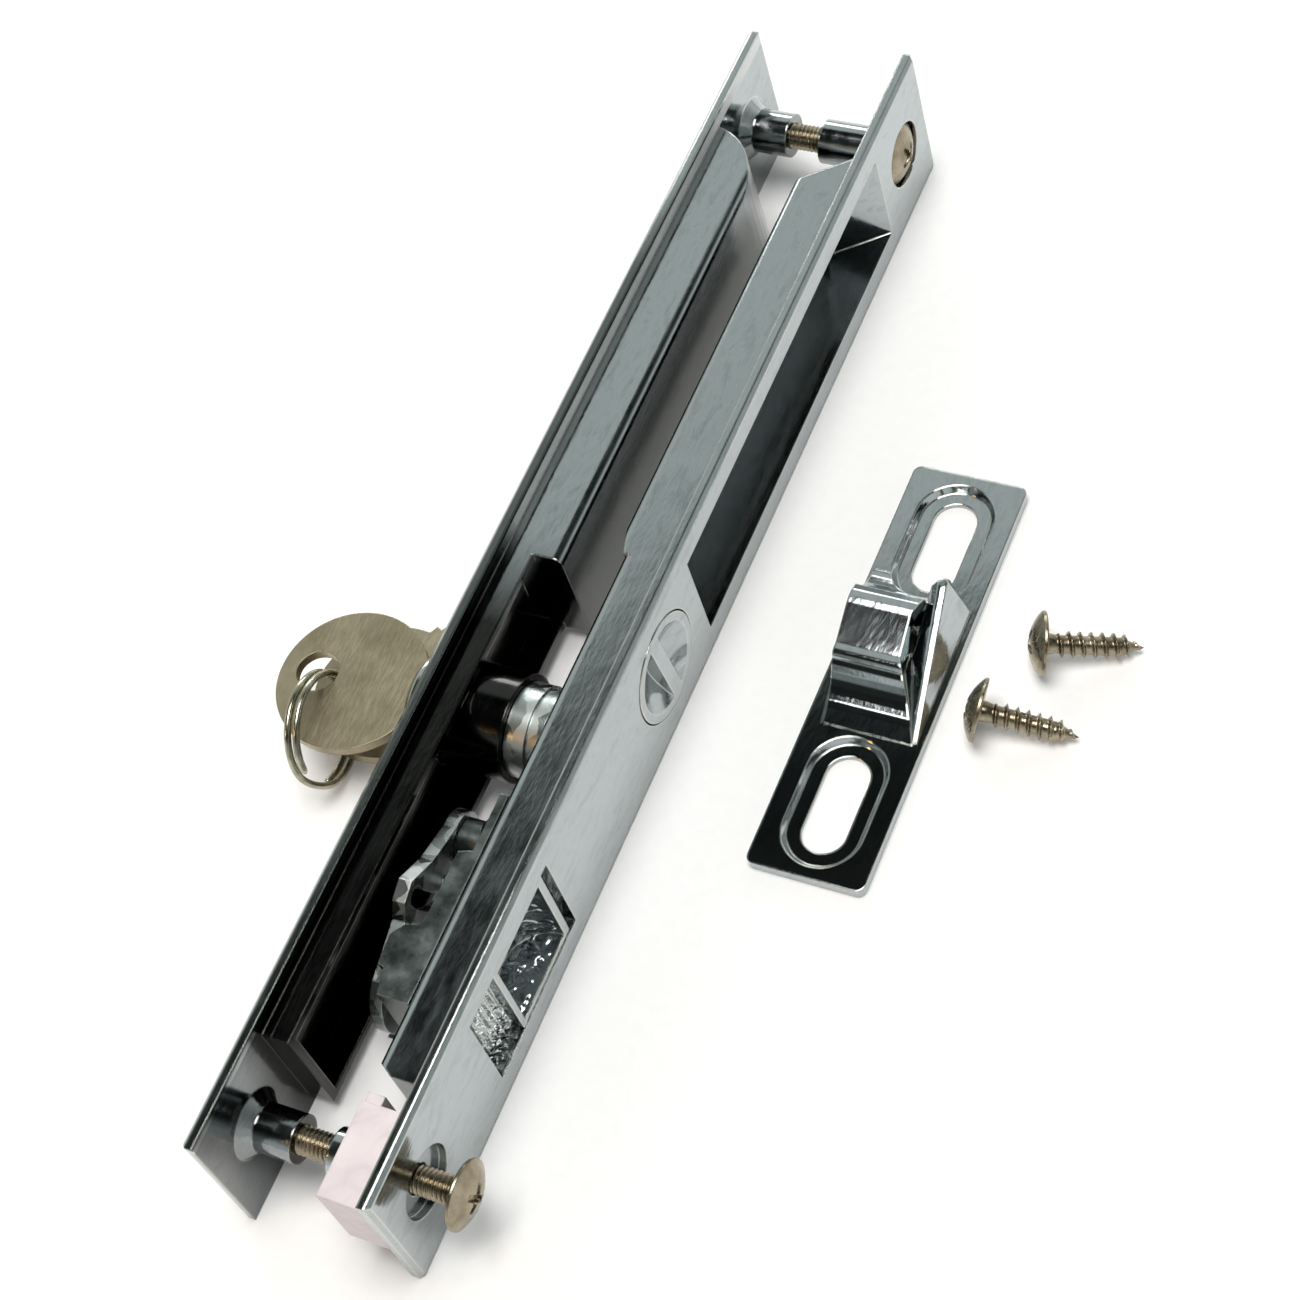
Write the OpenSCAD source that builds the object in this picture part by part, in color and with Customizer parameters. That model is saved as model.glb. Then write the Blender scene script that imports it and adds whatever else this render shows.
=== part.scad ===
// Flush patio door lock: two plates clamped through the door stile, a hook latch worked by a
// thumb slide or a key, a thumb-turn that locks the slide, a keeper, its screws and the keys.
// X runs from the outside plate to the inside plate, Y along the plates, Z up from the table.

/* [Plates] */
// Length of both plates
plate_l = 238; // [234:1:250]
// Width of both plates
plate_w = 30; // [29:0.5:34]
// Thickness of the plates' flanges
flange_t = 2.2; // [1.8:0.1:2.8]
// Bevel round the outer edge of the flanges
flange_bevel = 0.8; // [0.3:0.1:1.2]
// Distance over both flanges when clamped on the stile
clamp_d = 34; // [33.8:0.1:36]

/* [Trays] */
// Width over the trays behind both plates
tray_w = 23.4; // [23:0.1:24.5]
// Wall of the trays
tray_wall = 1.7; // [1.2:0.1:2]
// Depth of the inside plate's tray from its face
tray_d = 11; // [10.8:0.1:12]
// Depth of the outside plate's finger tub from its face
tub_d = 12.8; // [11:0.1:13.4]
// Height of the outside plate's lower channel from its face
channel_d = 7.3; // [5:0.1:9]
// Distance from the plates' ends to the trays
end_margin = 22; // [20:0.1:22.2]
// Rounding of the trays' long back edges
tray_round = 1.6; // [0.6:0.1:2]

/* [Finger recesses] */
// Distance from the plates' lower end to the inside finger opening
recess_from_end = 124; // [123.5:0.5:129]
// Distance from the plates' lower end to the outside finger opening
tub_from_end = 119.7; // [119.5:0.1:122]
// Distance from the plates' upper end to the finger openings
recess_margin = 22; // [21:0.5:29]
// Depth of the inside finger recess behind the face, over its back
recess_d = 13; // [12.4:0.1:13.6]
// Length of the sloping end of the inside recess
ramp_l = 9; // [6:0.5:14]
// Length of the curved end of the outside recess
curve_l = 14; // [10:0.5:20]

/* [Clamp screws] */
// Distance from the plates' ends to the clamp screws
clamp_inset = 11.2; // [10.8:0.1:12]
// Diameter of the clamp screws' thread
clamp_d_thread = 5; // [4:0.1:5.4]
// Length of the clamp screws under the head
clamp_l = 31; // [30:0.5:32]
// Diameter of the clamp screws' heads
clamp_head_d = 12; // [10:0.2:13]
// Height of the clamp screws' heads
clamp_head_h = 2.5; // [1.8:0.1:3]
// How far the lower clamp screw is backed out
backed_out = 8; // [0:0.5:8]
// Diameter of the inside plate's screw bosses
in_boss_d = 8.5; // [8:0.1:9]
// Length of the inside plate's screw bosses from its face
in_boss_l = 16.1; // [12:0.1:17]
// Diameter of the outside plate's tapped posts
post_d = 8.4; // [8:0.1:10]
// Length of the outside plate's tapped posts from its face
post_l = 11.2; // [10:0.1:13]

/* [Thumb-turn] */
// Distance from the plates' lower end to the thumb-turn
turn_from_end = 109; // [108.5:0.1:109.5]
// Diameter of the thumb-turn
turn_d = 20; // [18:0.1:20.2]
// Depth of the thumb-turn's round seat
turn_seat = 5.2; // [4.6:0.1:5.6]
// Diameter of the thumb-turn's shaft
turn_shaft_d = 7; // [5:0.1:7.4]
// Width of the thumb-turn's grip bar
grip_w = 3; // [2:0.1:4]
// Radius of the locking cam
cam_r = 7; // [6.7:0.1:7.3]

/* [Thumb slide] */
// Distance from the plates' lower end to the window
window_from_end = 34; // [33.5:0.1:34.2]
// Length of the window
window_l = 30; // [29.6:0.1:31]
// Travel of the thumb slide
travel = 9; // [8:0.1:9]
// Gap between the slide's upper rib and the window's upper end at rest
slide_gap = 2; // [0.5:0.1:2.4]
// Distance over the two ribs
slide_l = 18.8; // [17:0.1:19]
// Thickness of the upper rib
rib_upper = 1.5; // [1:0.1:2]
// Thickness of the lower rib
rib_lower = 1.2; // [0.8:0.1:2]
// Thickness of the slide's skirt behind the flange
skirt_t = 1.5; // [1:0.1:1.5]

/* [Slide bar] */
// Thickness of the slide bar
bar_t = 1.5; // [1:0.1:1.6]
// Diameter of the drive pin and the crank pin
pin_d = 3; // [2.5:0.1:3.2]

/* [Cylinder] */
// Distance from the plates' lower end to the key cylinder
cyl_from_end = 91; // [90.7:0.1:91.3]
// Diameter of the cylinder boss
boss_d = 19.5; // [18.8:0.1:20]
// Length of the cylinder boss from the outside plate's face
boss_l = 15; // [14.8:0.1:15.2]
// Diameter of the cylinder body
cyl_d = 16; // [15:0.1:16.2]
// Diameter of the cylinder's rim on the face
rim_d = 18.4; // [17.5:0.1:20]
// Thickness of the cylinder's rim
rim_t = 4.5; // [3:0.1:4.6]
// Diameter of the turning plug
plug_d = 11; // [10.8:0.1:11.5]
// Diameter of the crank drum on the plug
drum_d = 17; // [16:0.1:18]
// Number of tumbler wafers
wafer_count = 5; // [4:1:5]

/* [Keys] */
// Diameter of the keys' bows
bow_d = 28; // [26:0.5:28]
// Thickness of the keys
key_t = 2; // [1.6:0.1:2.1]
// Diameter of the hole in the keys' bows
key_hole_d = 8; // [7.6:0.1:9]
// Width of the keys' blades
blade_w = 7.4; // [6.5:0.1:7.5]
// Length of the keys' blades from the bow
blade_l = 17; // [14:0.5:17.5]
// Distance from the bow to the outside plate's face
bow_gap = 5.5; // [4.8:0.1:8]

/* [Key ring] */
// Mean radius of the split ring
ring_r = 10; // [9.8:0.1:10.4]
// Diameter of the ring's wire
ring_wire = 1.3; // [1:0.1:1.4]
// Spacing of the ring's two turns
ring_pitch = 1.75; // [1.75:0.05:1.9]

/* [Latch case] */
// Distance from the plates' lower end to the latch case's upper end
case_from_end = 62.9; // [62.6:0.1:63.2]
// Length of the latch case
case_l = 28.6; // [28.4:0.1:29]
// Wall of the latch case
case_wall = 1.2; // [0.8:0.1:1.4]
// Height of the case's shallow part
case_low = 3.9; // [3.2:0.1:4.5]
// Height of the case's deep part
case_high = 8.5; // [7.5:0.1:8.8]
// Width of the latch case
case_w = 22; // [21:0.1:23]
// Thickness of the case's fixing ears
ear_t = 1.5; // [1:0.1:1.8]

/* [Latch hook] */
// Distance from the plates' lower end to the hook's pivot
pivot_from_end = 68.5; // [68.3:0.1:68.7]
// Height of the hook's pivot above the table
pivot_z = 14.5; // [14.3:0.1:14.7]
// Diameter of the hook's pivot
pivot_d = 5; // [4:0.1:5.4]
// Thickness of the hook
hook_t = 2.4; // [1.8:0.1:2.8]
// Angle through which the hook swings
hook_swing = 40; // [36:1:42]

/* [Spacer block] */
// Length of the spacer block
spacer_l = 16.5; // [15:0.5:16.5]
// Thickness of the spacer block
spacer_t = 8.3; // [6:0.1:10]

/* [Keeper] */
// Length of the keeper
keeper_l = 84; // [82:1:90]
// Width of the keeper
keeper_w = 21.5; // [20.5:0.1:22]
// Thickness of the keeper's plate
keeper_t = 2.2; // [1.8:0.1:2.6]
// Distance between the keeper's slots
slot_spacing = 54; // [53:0.5:56]
// Length of the keeper's slots
slot_l = 19; // [16:0.5:20]
// Width of the keeper's slots
slot_w = 8; // [6:0.1:8.4]
// Border of the countersink round the slots
sink_border = 3.3; // [2:0.1:3.6]
// Height of the keeper's nose
nose_h = 9.2; // [8:0.1:10]

/* [Keeper screws] */
// Length of the keeper screws over all
wood_l = 19.8; // [18:0.1:20]
// Diameter of the keeper screws' thread
wood_d = 4.8; // [4:0.1:5]
// Diameter of the keeper screws' heads
wood_head_d = 11.4; // [10:0.1:11.8]

/* [Hidden] */
$fn = 48;

// Places along the plates, from their ends
plate_y0 = -plate_l / 2;
plate_y1 = plate_l / 2;
tray_y0 = plate_y0 + end_margin;
recess_y0 = plate_y0 + recess_from_end;
tub_y0 = plate_y0 + tub_from_end;
recess_y1 = plate_y1 - recess_margin;
turn_y = plate_y0 + turn_from_end;
window_y0 = plate_y0 + window_from_end;
window_y1 = window_y0 + window_l;
cyl_y = plate_y0 + cyl_from_end;
case_y1 = plate_y0 + case_from_end;
pivot_y = plate_y0 + pivot_from_end;

// Faces and levels that the pieces share
in_face = -3;
out_face = in_face - clamp_d;
mid_z = plate_w / 2;
flange_back = in_face - flange_t;
tray_back = in_face - tray_d;
tray_lo = mid_z - tray_w / 2;
tray_hi = mid_z + tray_w / 2;
bay_lo = tray_lo + tray_wall;
bay_hi = tray_hi - tray_wall;
bay_top = recess_y0 - tray_wall;
tub_foot = tub_y0 - tray_wall;
clamp_y = plate_y1 - clamp_inset;

// Clearances
run_gap = 0.05;
slide_play = 0.3;
screw_play = 0.2;
tiny = 0.01;
seat_gap = 0.15;
spacer_seat = 0.4;

// Layers of the mechanism, from the bay's open back inwards
bar_back = tray_back + 0.4;
bar_front = bar_back + bar_t;
skirt_front = flange_back - slide_play;
skirt_back = skirt_front - skirt_t;
slide_y1 = window_y1 - slide_gap;
slide_y0 = slide_y1 - slide_l;

// Screws that hold the latch case, as (y, z), and their reach into the bay
case_screw_d = 3;
upper_screws = [[pivot_y - 0.5, mid_z - 7.4], [pivot_y - 0.5, mid_z + 7.4]];
lower_screw = [case_y1 - case_l - 5.3, mid_z];
screw_reach = skirt_back - tray_back - slide_play;

// Studs that hold the slide bar on the thumb slide
stud_d = 3;
slide_studs = [slide_y1 - 4.5, slide_y0 + 3.5];

// Spacer block, from the lower clamp screw outwards
spacer_y0 = -clamp_y - 10.7;
spacer_y1 = spacer_y0 + spacer_l;
spacer_z0 = mid_z - 5;
spacer_z1 = mid_z + 12;

// Crank: a quarter turn of the plug moves its pin by the travel
crank_r = travel / 2 / sin(45);
drum_start = boss_l + 0.1;
drum_end = clamp_d - tray_d - 1.2;
slot_play = 0.35;

// Hook: its pin slot follows the slide, so both stay in step
pin_start = 7;
pin_drop = 4;
drive_y = pivot_y - pin_start;
drive_z = pivot_z - pin_drop;
hook_gap = 0.9;
hook_x1 = tray_back - case_high - hook_gap;
hook_x0 = hook_x1 - hook_t;

// Keys and ring
bow_x = out_face - bow_gap - bow_d / 2;
hole_off = bow_d / 4;
ring_centre = [bow_x - 3.6, cyl_y - 8.3, ring_r + ring_wire / 2 + 0.25];
ring_turn = [0, -8, 8];
spare_centre = [bow_x + 1.2, cyl_y + 4.9, 3.6];
spare_turn = 63;
spare_tilt = 3.4;

// Loose pieces on the table
keeper_at = [30, 6.7, 0];
wood_heads = [[54.98, 16.8], [49, 1.4]];
wood_turns = [21, 5.5];

// Points of an arc, from angle a0 to a1 in n steps
function arc(c, r, a0, a1, n) =
    [for (i = [0:n]) let (a = a0 + (a1 - a0) * i / n) [c[0] + r * cos(a), c[1] + r * sin(a)]];

function turned(p, a) = [p[0] * cos(a) - p[1] * sin(a), p[0] * sin(a) + p[1] * cos(a)];

// Puts a shape drawn in depth behind a face on the inside plate
module on_inside() {
    translate([in_face, 0, 0])
        mirror([1, 0, 0])
            children();
}

// The same for the outside plate
module on_outside() {
    translate([out_face, 0, 0])
        children();
}

// Extrudes a profile drawn as (x, z) along Y, from y0 to y1
module along_y(y0, y1) {
    translate([0, y1, 0])
        rotate([90, 0, 0])
            linear_extrude(y1 - y0)
                children();
}

// Extrudes a profile drawn as (y, z) along X, from x0 to x1
module along_x(x0, x1) {
    translate([x0, 0, 0])
        rotate([90, 0, 90])
            linear_extrude(x1 - x0)
                children();
}

// Extrudes a profile drawn as (x, y) along Z, from z0 to z1
module along_z(z0, z1) {
    translate([0, 0, z0])
        linear_extrude(z1 - z0)
            children();
}

// Round bar along X at (y, z), from x0 to x1
module rod_x(x0, x1, y, z, r) {
    translate([x0, y, z])
        rotate([0, 90, 0])
            cylinder(r = r, h = x1 - x0);
}

// Cone along X at (y, z), from x0 to x1
module cone_x(x0, x1, y, z, r0, r1) {
    translate([x0, y, z])
        rotate([0, 90, 0])
            cylinder(r1 = r0, r2 = r1, h = x1 - x0);
}

// Shallow bowl of a given rim radius and depth, opening along +X at the origin
module bowl(rim, deep) {
    r = (rim * rim + deep * deep) / (2 * deep);
    translate([r - deep, 0, 0])
        rotate([0, 90, 0])
            sphere(r = r, $fn = 64);
}

// Turns its children about X through (y, z)
module rotate_about(y, z, a) {
    translate([0, y, z])
        rotate([a, 0, 0])
            translate([0, -y, -z])
                children();
}

// Block between two corners
module block(a, b) {
    translate(a)
        cube(b - a);
}

// Flange with a bevel round its face, drawn in depth behind the face
module flange() {
    b = flange_bevel;
    half = plate_l / 2;
    intersection() {
        along_y(-half, half)
            polygon([[flange_t, 0], [b, 0], [0, b], [0, plate_w - b], [b, plate_w], [flange_t, plate_w]]);
        linear_extrude(plate_w)
            polygon([[flange_t, -half], [b, -half], [0, -half + b],
                     [0, half - b], [b, half], [flange_t, half]]);
    }
}

// Cross-section of a tray of the given depth, its two back edges rounded
module tray_section(depth) {
    r = tray_round;
    polygon(concat([[0, tray_lo]], arc([depth - r, tray_lo + r], r, -90, 0, 6),
                   arc([depth - r, tray_hi - r], r, 0, 90, 6), [[0, tray_hi]]));
}

// Side view of a tub whose upper end curves up to the face
function tub_side(depth, y0, y1, end_l, n) =
    concat([[0, y0], [depth, y0]],
           [for (i = [0:n]) [depth * cos(90 * i / n), y1 - end_l + end_l * sin(90 * i / n)]]);

// Side view of the inside recess, with a straight slope and a rounded lower corner
function recess_side(depth, y0, y1, slope_l, r) =
    concat([[-1, y0]], arc([depth - r, y0 + r], r, -90, 0, 6),
           [[depth, y1 - slope_l - 1], [depth - 0.8, y1 - slope_l + 0.6], [0, y1], [-1, y1]]);

// Oval cut through the keeper with a countersunk border, along Y
module slot_cut(y) {
    run = (slot_l - slot_w) / 2;
    r = slot_w / 2;
    top_r = r + sink_border;
    floor_z = 0.9;
    side = [[r, -1], [r, floor_z], [top_r - 0.8, floor_z], [top_r, keeper_t], [top_r, 20]];
    translate([0, y, 0]) {
        for (s = [-1, 1])
            translate([0, s * run, 0])
                rotate_extrude()
                    polygon(concat([[0, -1]], side, [[0, 20]]));
        along_y(-run, run)
            polygon(concat(side, [for (i = [4:-1:0]) [-side[i][0], side[i][1]]]));
    }
}

// Domed screw head with a cross recess, its seat at z = 0 and its top up
module domed_head(d, h, recess) {
    dome_r = (d * d / 4 + h * h * 0.64) / (2 * h * 0.8);
    difference() {
        intersection() {
            cylinder(r = d / 2, h = h);
            translate([0, 0, h - dome_r])
                sphere(r = dome_r);
        }
        for (a = [0, 90])
            rotate([0, 0, a])
                translate([-recess / 2, -0.45, h - 1.4])
                    cube([recess, 0.9, 2]);
    }
}

// Clamp screw with its head seated on x = 0 and its shank along -X
module clamp_screw() {
    r = clamp_d_thread / 2;
    tip = 0.8;
    rotate([0, 90, 0])
        domed_head(clamp_head_d, clamp_head_h, 5);
    rod_x(-clamp_l + tip, 0, 0, 0, r);
    cone_x(-clamp_l, -clamp_l + tip, 0, 0, r - tip, r);
}

// Flat key: bow round the origin, blade along +X, cuts on both edges
module key_shape() {
    r = bow_d / 2;
    tip = r + blade_l;
    bw = blade_w / 2;
    cuts = 5;
    difference() {
        union() {
            translate([0, 0, -key_t / 2])
                cylinder(r = r, h = key_t, $fn = 96);
            translate([0, 0, -key_t / 2])
                linear_extrude(key_t)
                    polygon([[r - 2, -bw - 1.2], [r + 0.9, -bw - 1.2], [r + 0.9, -bw], [tip - 3, -bw],
                             [tip, -1], [tip, 1], [tip - 3, bw], [r + 0.9, bw],
                             [r + 0.9, bw + 1.2], [r - 2, bw + 1.2]]);
        }
        translate([-hole_off, 0, -key_t])
            cylinder(d = key_hole_d, h = 2 * key_t);
        for (i = [0:cuts - 1], s = [-1, 1])
            translate([r + 3.6 + i * 2.3, s * (bw + 0.1), -key_t])
                linear_extrude(2 * key_t)
                    polygon([[-0.9, 0], [0, -s * (0.6 + 0.25 * ((i * 2 + s + 1) % 3))], [0.9, 0]]);
        translate([r + 2, -0.5, key_t / 2 - 0.4])
            cube([blade_l, 1, 1]);
    }
}

// Inside plate
module inside_plate() {
    wall = tray_wall;
    pad_r = clamp_head_d / 2 + 1.2;
    screw_r = 2.8;
    recess_step = 6;
    color("lightgray")
        on_inside()
            difference() {
                union() {
                    difference() {
                        flange();
                        block([flange_t - spacer_seat, spacer_y0 - seat_gap, spacer_z0 - seat_gap],
                              [flange_t + 1, spacer_y1 + seat_gap, spacer_z1 + seat_gap]);
                    }
                    intersection() {
                        along_y(tray_y0, bay_top + 1)
                            tray_section(tray_d);
                        linear_extrude(plate_w)
                            polygon([[0, tray_y0], [tray_d - 3, tray_y0], [tray_d, tray_y0 + 2],
                                     [tray_d, bay_top + 1], [0, bay_top + 1]]);
                    }
                    intersection() {
                        along_y(bay_top, recess_y1 + 2)
                            tray_section(recess_d);
                        linear_extrude(plate_w)
                            polygon([[0, bay_top], [tray_d, bay_top], [recess_d, bay_top + recess_step],
                                     [recess_d, recess_y1 - ramp_l + 0.2], [flange_t, recess_y1 - 0.4],
                                     [0, recess_y1 - 0.4]]);
                    }
                    for (s = [-1, 1]) {
                        rod_x(flange_t - spacer_seat - tiny, in_boss_l, s * clamp_y, mid_z, in_boss_d / 2);
                        rod_x(flange_t - spacer_seat - tiny, flange_t + 1.2, s * clamp_y, mid_z, pad_r);
                    }
                }
                along_z(bay_lo, bay_hi)
                    polygon(recess_side(recess_d - wall, recess_y0, recess_y1, ramp_l, recess_step - 0.5));
                difference() {
                    block([flange_t, tray_y0 + wall, bay_lo], [tray_d + 1, bay_top, bay_hi]);
                    block([0, turn_y - turn_d / 2 - 1.7, 0], [turn_seat + 1.5, bay_top + 1, plate_w]);
                    for (p = upper_screws)
                        rod_x(tray_d - screw_reach, tray_d + 2, p[0], p[1], screw_r);
                    rod_x(tray_d - screw_reach, tray_d + 2, lower_screw[0], lower_screw[1], screw_r);
                    block([tray_d - screw_reach, tray_y0, lower_screw[1] - screw_r],
                          [tray_d + 2, lower_screw[0], lower_screw[1] + screw_r]);
                }
                block([tray_d, tray_y0, bay_lo - wall - 1], [tray_d + 3, bay_top, bay_hi + wall + 1]);
                for (p = concat(upper_screws, [lower_screw]))
                    rod_x(tray_d - screw_reach + 1, tray_d + 3, p[0], p[1], case_screw_d / 2);
                block([-1, window_y0, bay_lo], [flange_t + 1, window_y1, bay_hi]);
                rod_x(-1, turn_seat, turn_y, mid_z, turn_d / 2 + slide_play);
                rod_x(0, tray_d, turn_y, mid_z, turn_shaft_d / 2 + run_gap);
                for (s = [-1, 1]) {
                    rod_x(-1, in_boss_l + 1, s * clamp_y, mid_z, clamp_d_thread / 2 + screw_play);
                    rod_x(-1, 1.5, s * clamp_y, mid_z, clamp_head_d / 2 + slide_play);
                }
            }
}

// Outside plate
module outside_plate() {
    wall = tray_wall;
    tap_r = clamp_d_thread / 2 + run_gap;
    color("lightgray")
        on_outside()
            difference() {
                union() {
                    flange();
                    intersection() {
                        along_y(tub_foot, recess_y1 + 2)
                            tray_section(tub_d);
                        linear_extrude(plate_w)
                            polygon(tub_side(tub_d, tub_foot, recess_y1 + 0.8, curve_l + 0.8, 12));
                    }
                    difference() {
                        block([0, tray_y0, tray_lo], [channel_d, tub_y0, tray_hi]);
                        block([flange_t, tray_y0 + wall, bay_lo], [channel_d + 1, tub_foot, bay_hi]);
                    }
                    rod_x(flange_t - tiny, boss_l, cyl_y, mid_z, boss_d / 2);
                    for (s = [-1, 1]) {
                        rod_x(flange_t - tiny, post_l, s * clamp_y, mid_z, post_d / 2);
                        cone_x(flange_t - tiny, flange_t + 2, s * clamp_y, mid_z, post_d / 2 + 2, post_d / 2);
                    }
                }
                along_z(bay_lo, bay_hi)
                    polygon(concat([[-1, tub_y0]], tub_side(tub_d - wall, tub_y0, recess_y1, curve_l, 12),
                                   [[-1, recess_y1]]));
                rod_x(-1, boss_l + 1, cyl_y, mid_z, cyl_d / 2 + run_gap);
                for (s = [-1, 1])
                    rod_x(1, post_l + 1, s * clamp_y, mid_z, tap_r);
            }
}

module clamp_screw_top() {
    color("tan")
        translate([in_face - 1.5, clamp_y, mid_z])
            clamp_screw();
}

module clamp_screw_bottom() {
    color("tan")
        translate([in_face - 1.5 + backed_out, -clamp_y, mid_z])
            clamp_screw();
}

// Spacer block, threaded over the lower screw boss
module spacer_block() {
    far = flange_back - spacer_t;
    seat = flange_back + spacer_seat;
    color("mistyrose")
        difference() {
            union() {
                block([far, spacer_y0, spacer_z0], [seat, spacer_y1, spacer_z1]);
                block([far - 0.5, spacer_y1 - tiny, spacer_z1 - 9], [far + 2.5, spacer_y1 + 2.2, spacer_z1 - 2]);
            }
            rod_x(far - 1, seat + 1, -clamp_y, mid_z, in_boss_d / 2 + seat_gap);
            rod_x(flange_back - 1.2 - screw_play, seat + 1, -clamp_y, mid_z, clamp_head_d / 2 + 1.2 + screw_play);
        }
}

// Round thumb-turn with a bar between two scoops
module thumb_turn() {
    r = turn_d / 2;
    seat_x = in_face - turn_seat;
    scoop_r = r - 1.6;
    color("silver")
        difference() {
            union() {
                rod_x(seat_x + 0.3, in_face + 0.1, turn_y, mid_z, r);
                rod_x(bar_back - 1.4, seat_x + 0.4, turn_y, mid_z, turn_shaft_d / 2);
            }
            rotate_about(turn_y, mid_z, 5)
                difference() {
                    translate([in_face + 0.1, turn_y, mid_z])
                        bowl(scoop_r, 3);
                    block([in_face - 5, turn_y - grip_w / 2, 0], [in_face + 1, turn_y + grip_w / 2, plate_w]);
                }
        }
}

// Disc with a flat: the flat lets the slide bar pass, the disc locks it
module thumb_turn_cam() {
    flat = cam_r - 2.3;
    color("slategray")
        difference() {
            union() {
                rod_x(bar_back, bar_front, turn_y, mid_z, cam_r);
                rod_x(bar_front - tiny, in_face - turn_seat - 1.7, turn_y, mid_z, turn_shaft_d / 2 + 1.2);
            }
            rod_x(bar_back - 1, in_face - turn_seat, turn_y, mid_z, turn_shaft_d / 2);
            block([bar_back - 1, turn_y - cam_r - 1, mid_z - cam_r - 1],
                  [bar_front, turn_y + cam_r + 1, mid_z - flat]);
        }
}

// Spring clip in the shaft's end, behind the cam
module thumb_turn_clip() {
    r = turn_shaft_d / 2;
    color("dimgray")
        difference() {
            rod_x(bar_back - 0.9, bar_back - 0.1, turn_y, mid_z, r + 1.6);
            rod_x(bar_back - 2, bar_back + 1, turn_y, mid_z, r);
            block([bar_back - 2, turn_y - 1.5, mid_z], [bar_back + 1, turn_y + 1.5, plate_w]);
        }
}

// Thumb slide: a scooped cup between two ribs on a skirt that runs behind the flange
module thumb_slide() {
    lo = bay_lo + slide_play;
    hi = bay_hi - slide_play;
    skirt_y0 = slide_y0 - 10.2;
    skirt_y1 = slide_y1 + 14;
    front = in_face - 0.2;
    pocket_y0 = slide_y0 + rib_lower;
    pocket_y1 = slide_y1 - rib_upper;
    scoop = (pocket_y1 - pocket_y0) / 2;
    color("silver")
        difference() {
            union() {
                block([bar_front, slide_y0, lo], [front, slide_y1, hi]);
                block([skirt_back, skirt_y0, lo], [skirt_front, skirt_y1, hi]);
                for (y = slide_studs)
                    rod_x(bar_back + 0.2, bar_front + tiny, y, mid_z, stud_d / 2);
            }
            translate([front, (pocket_y0 + pocket_y1) / 2, lo + 1])
                cylinder(r = scoop, h = hi - lo - 2);
            for (i = [0:4])
                translate([skirt_front + tiny, slide_y0 - 1.4 - i * 1.5, lo - 1])
                    linear_extrude(hi - lo + 2)
                        polygon([[0, -0.7], [-0.8, 0], [0, 0.7]]);
        }
}

// Flat bar that ties the thumb slide, the crank, the hook and the locking cam together
module slide_bar() {
    play = slide_play;
    crank_at = cyl_y + travel / 2;
    crank_lo = mid_z - crank_r - pin_d / 2 - play;
    crank_hi = mid_z - travel / 2 + pin_d / 2 + play;
    slot_half = pin_d / 2 + slot_play;
    neck = 3.8;
    arm_z = mid_z - 5;
    foot_y1 = drive_y + pin_d / 2 + 1.2;
    color("lightslategray")
        along_x(bar_back, bar_front)
            difference() {
                polygon([[slide_y0 - 0.2, drive_z - 3.2], [foot_y1, drive_z - 3.2], [foot_y1, mid_z - neck],
                         [crank_at - 4.8, mid_z - neck], [crank_at - 4.8, bay_lo + play],
                         [turn_y + travel + 2, bay_lo + play], [turn_y + travel + 2, arm_z],
                         [crank_at + 4.2, arm_z], [crank_at + 4.2, mid_z + neck], [foot_y1, mid_z + neck],
                         [slide_y0 - 0.2, mid_z + neck]]);
                for (y = [turn_y, turn_y + travel])
                    translate([y, mid_z])
                        circle(r = cam_r + 0.2);
                translate([crank_at - slot_half, crank_lo])
                    square([2 * slot_half, crank_hi - crank_lo]);
                translate([drive_y, drive_z])
                    circle(d = pin_d);
                for (y = slide_studs)
                    translate([y, mid_z])
                        circle(d = stud_d);
            }
}

module drive_pin() {
    color("silver")
        rod_x(hook_x0 - 0.5, bar_front - 0.2, drive_y, drive_z, pin_d / 2);
}

// Outline of the latch case in depth behind the tray, drawn in from its edge by a wall
function case_outline(w) = [
    [-w, case_y1 - w],
    [case_low - w, case_y1 - 1.2 - w],
    [case_low - w, case_y1 - 14 - w],
    [case_low + 0.7 - w, case_y1 - 15.2 - w],
    [case_high - 1.9 - w, case_y1 - 15.8 - w],
    [case_high - w, case_y1 - 18.3 - w],
    [case_high - 0.5 - w, case_y1 - 23.7 + w],
    [case_high - 1.6 - w, case_y1 - 23.9 + w],
    [case_high - 2.7 - w, case_y1 - case_l + w],
    [-w, case_y1 - case_l + w]];

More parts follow.
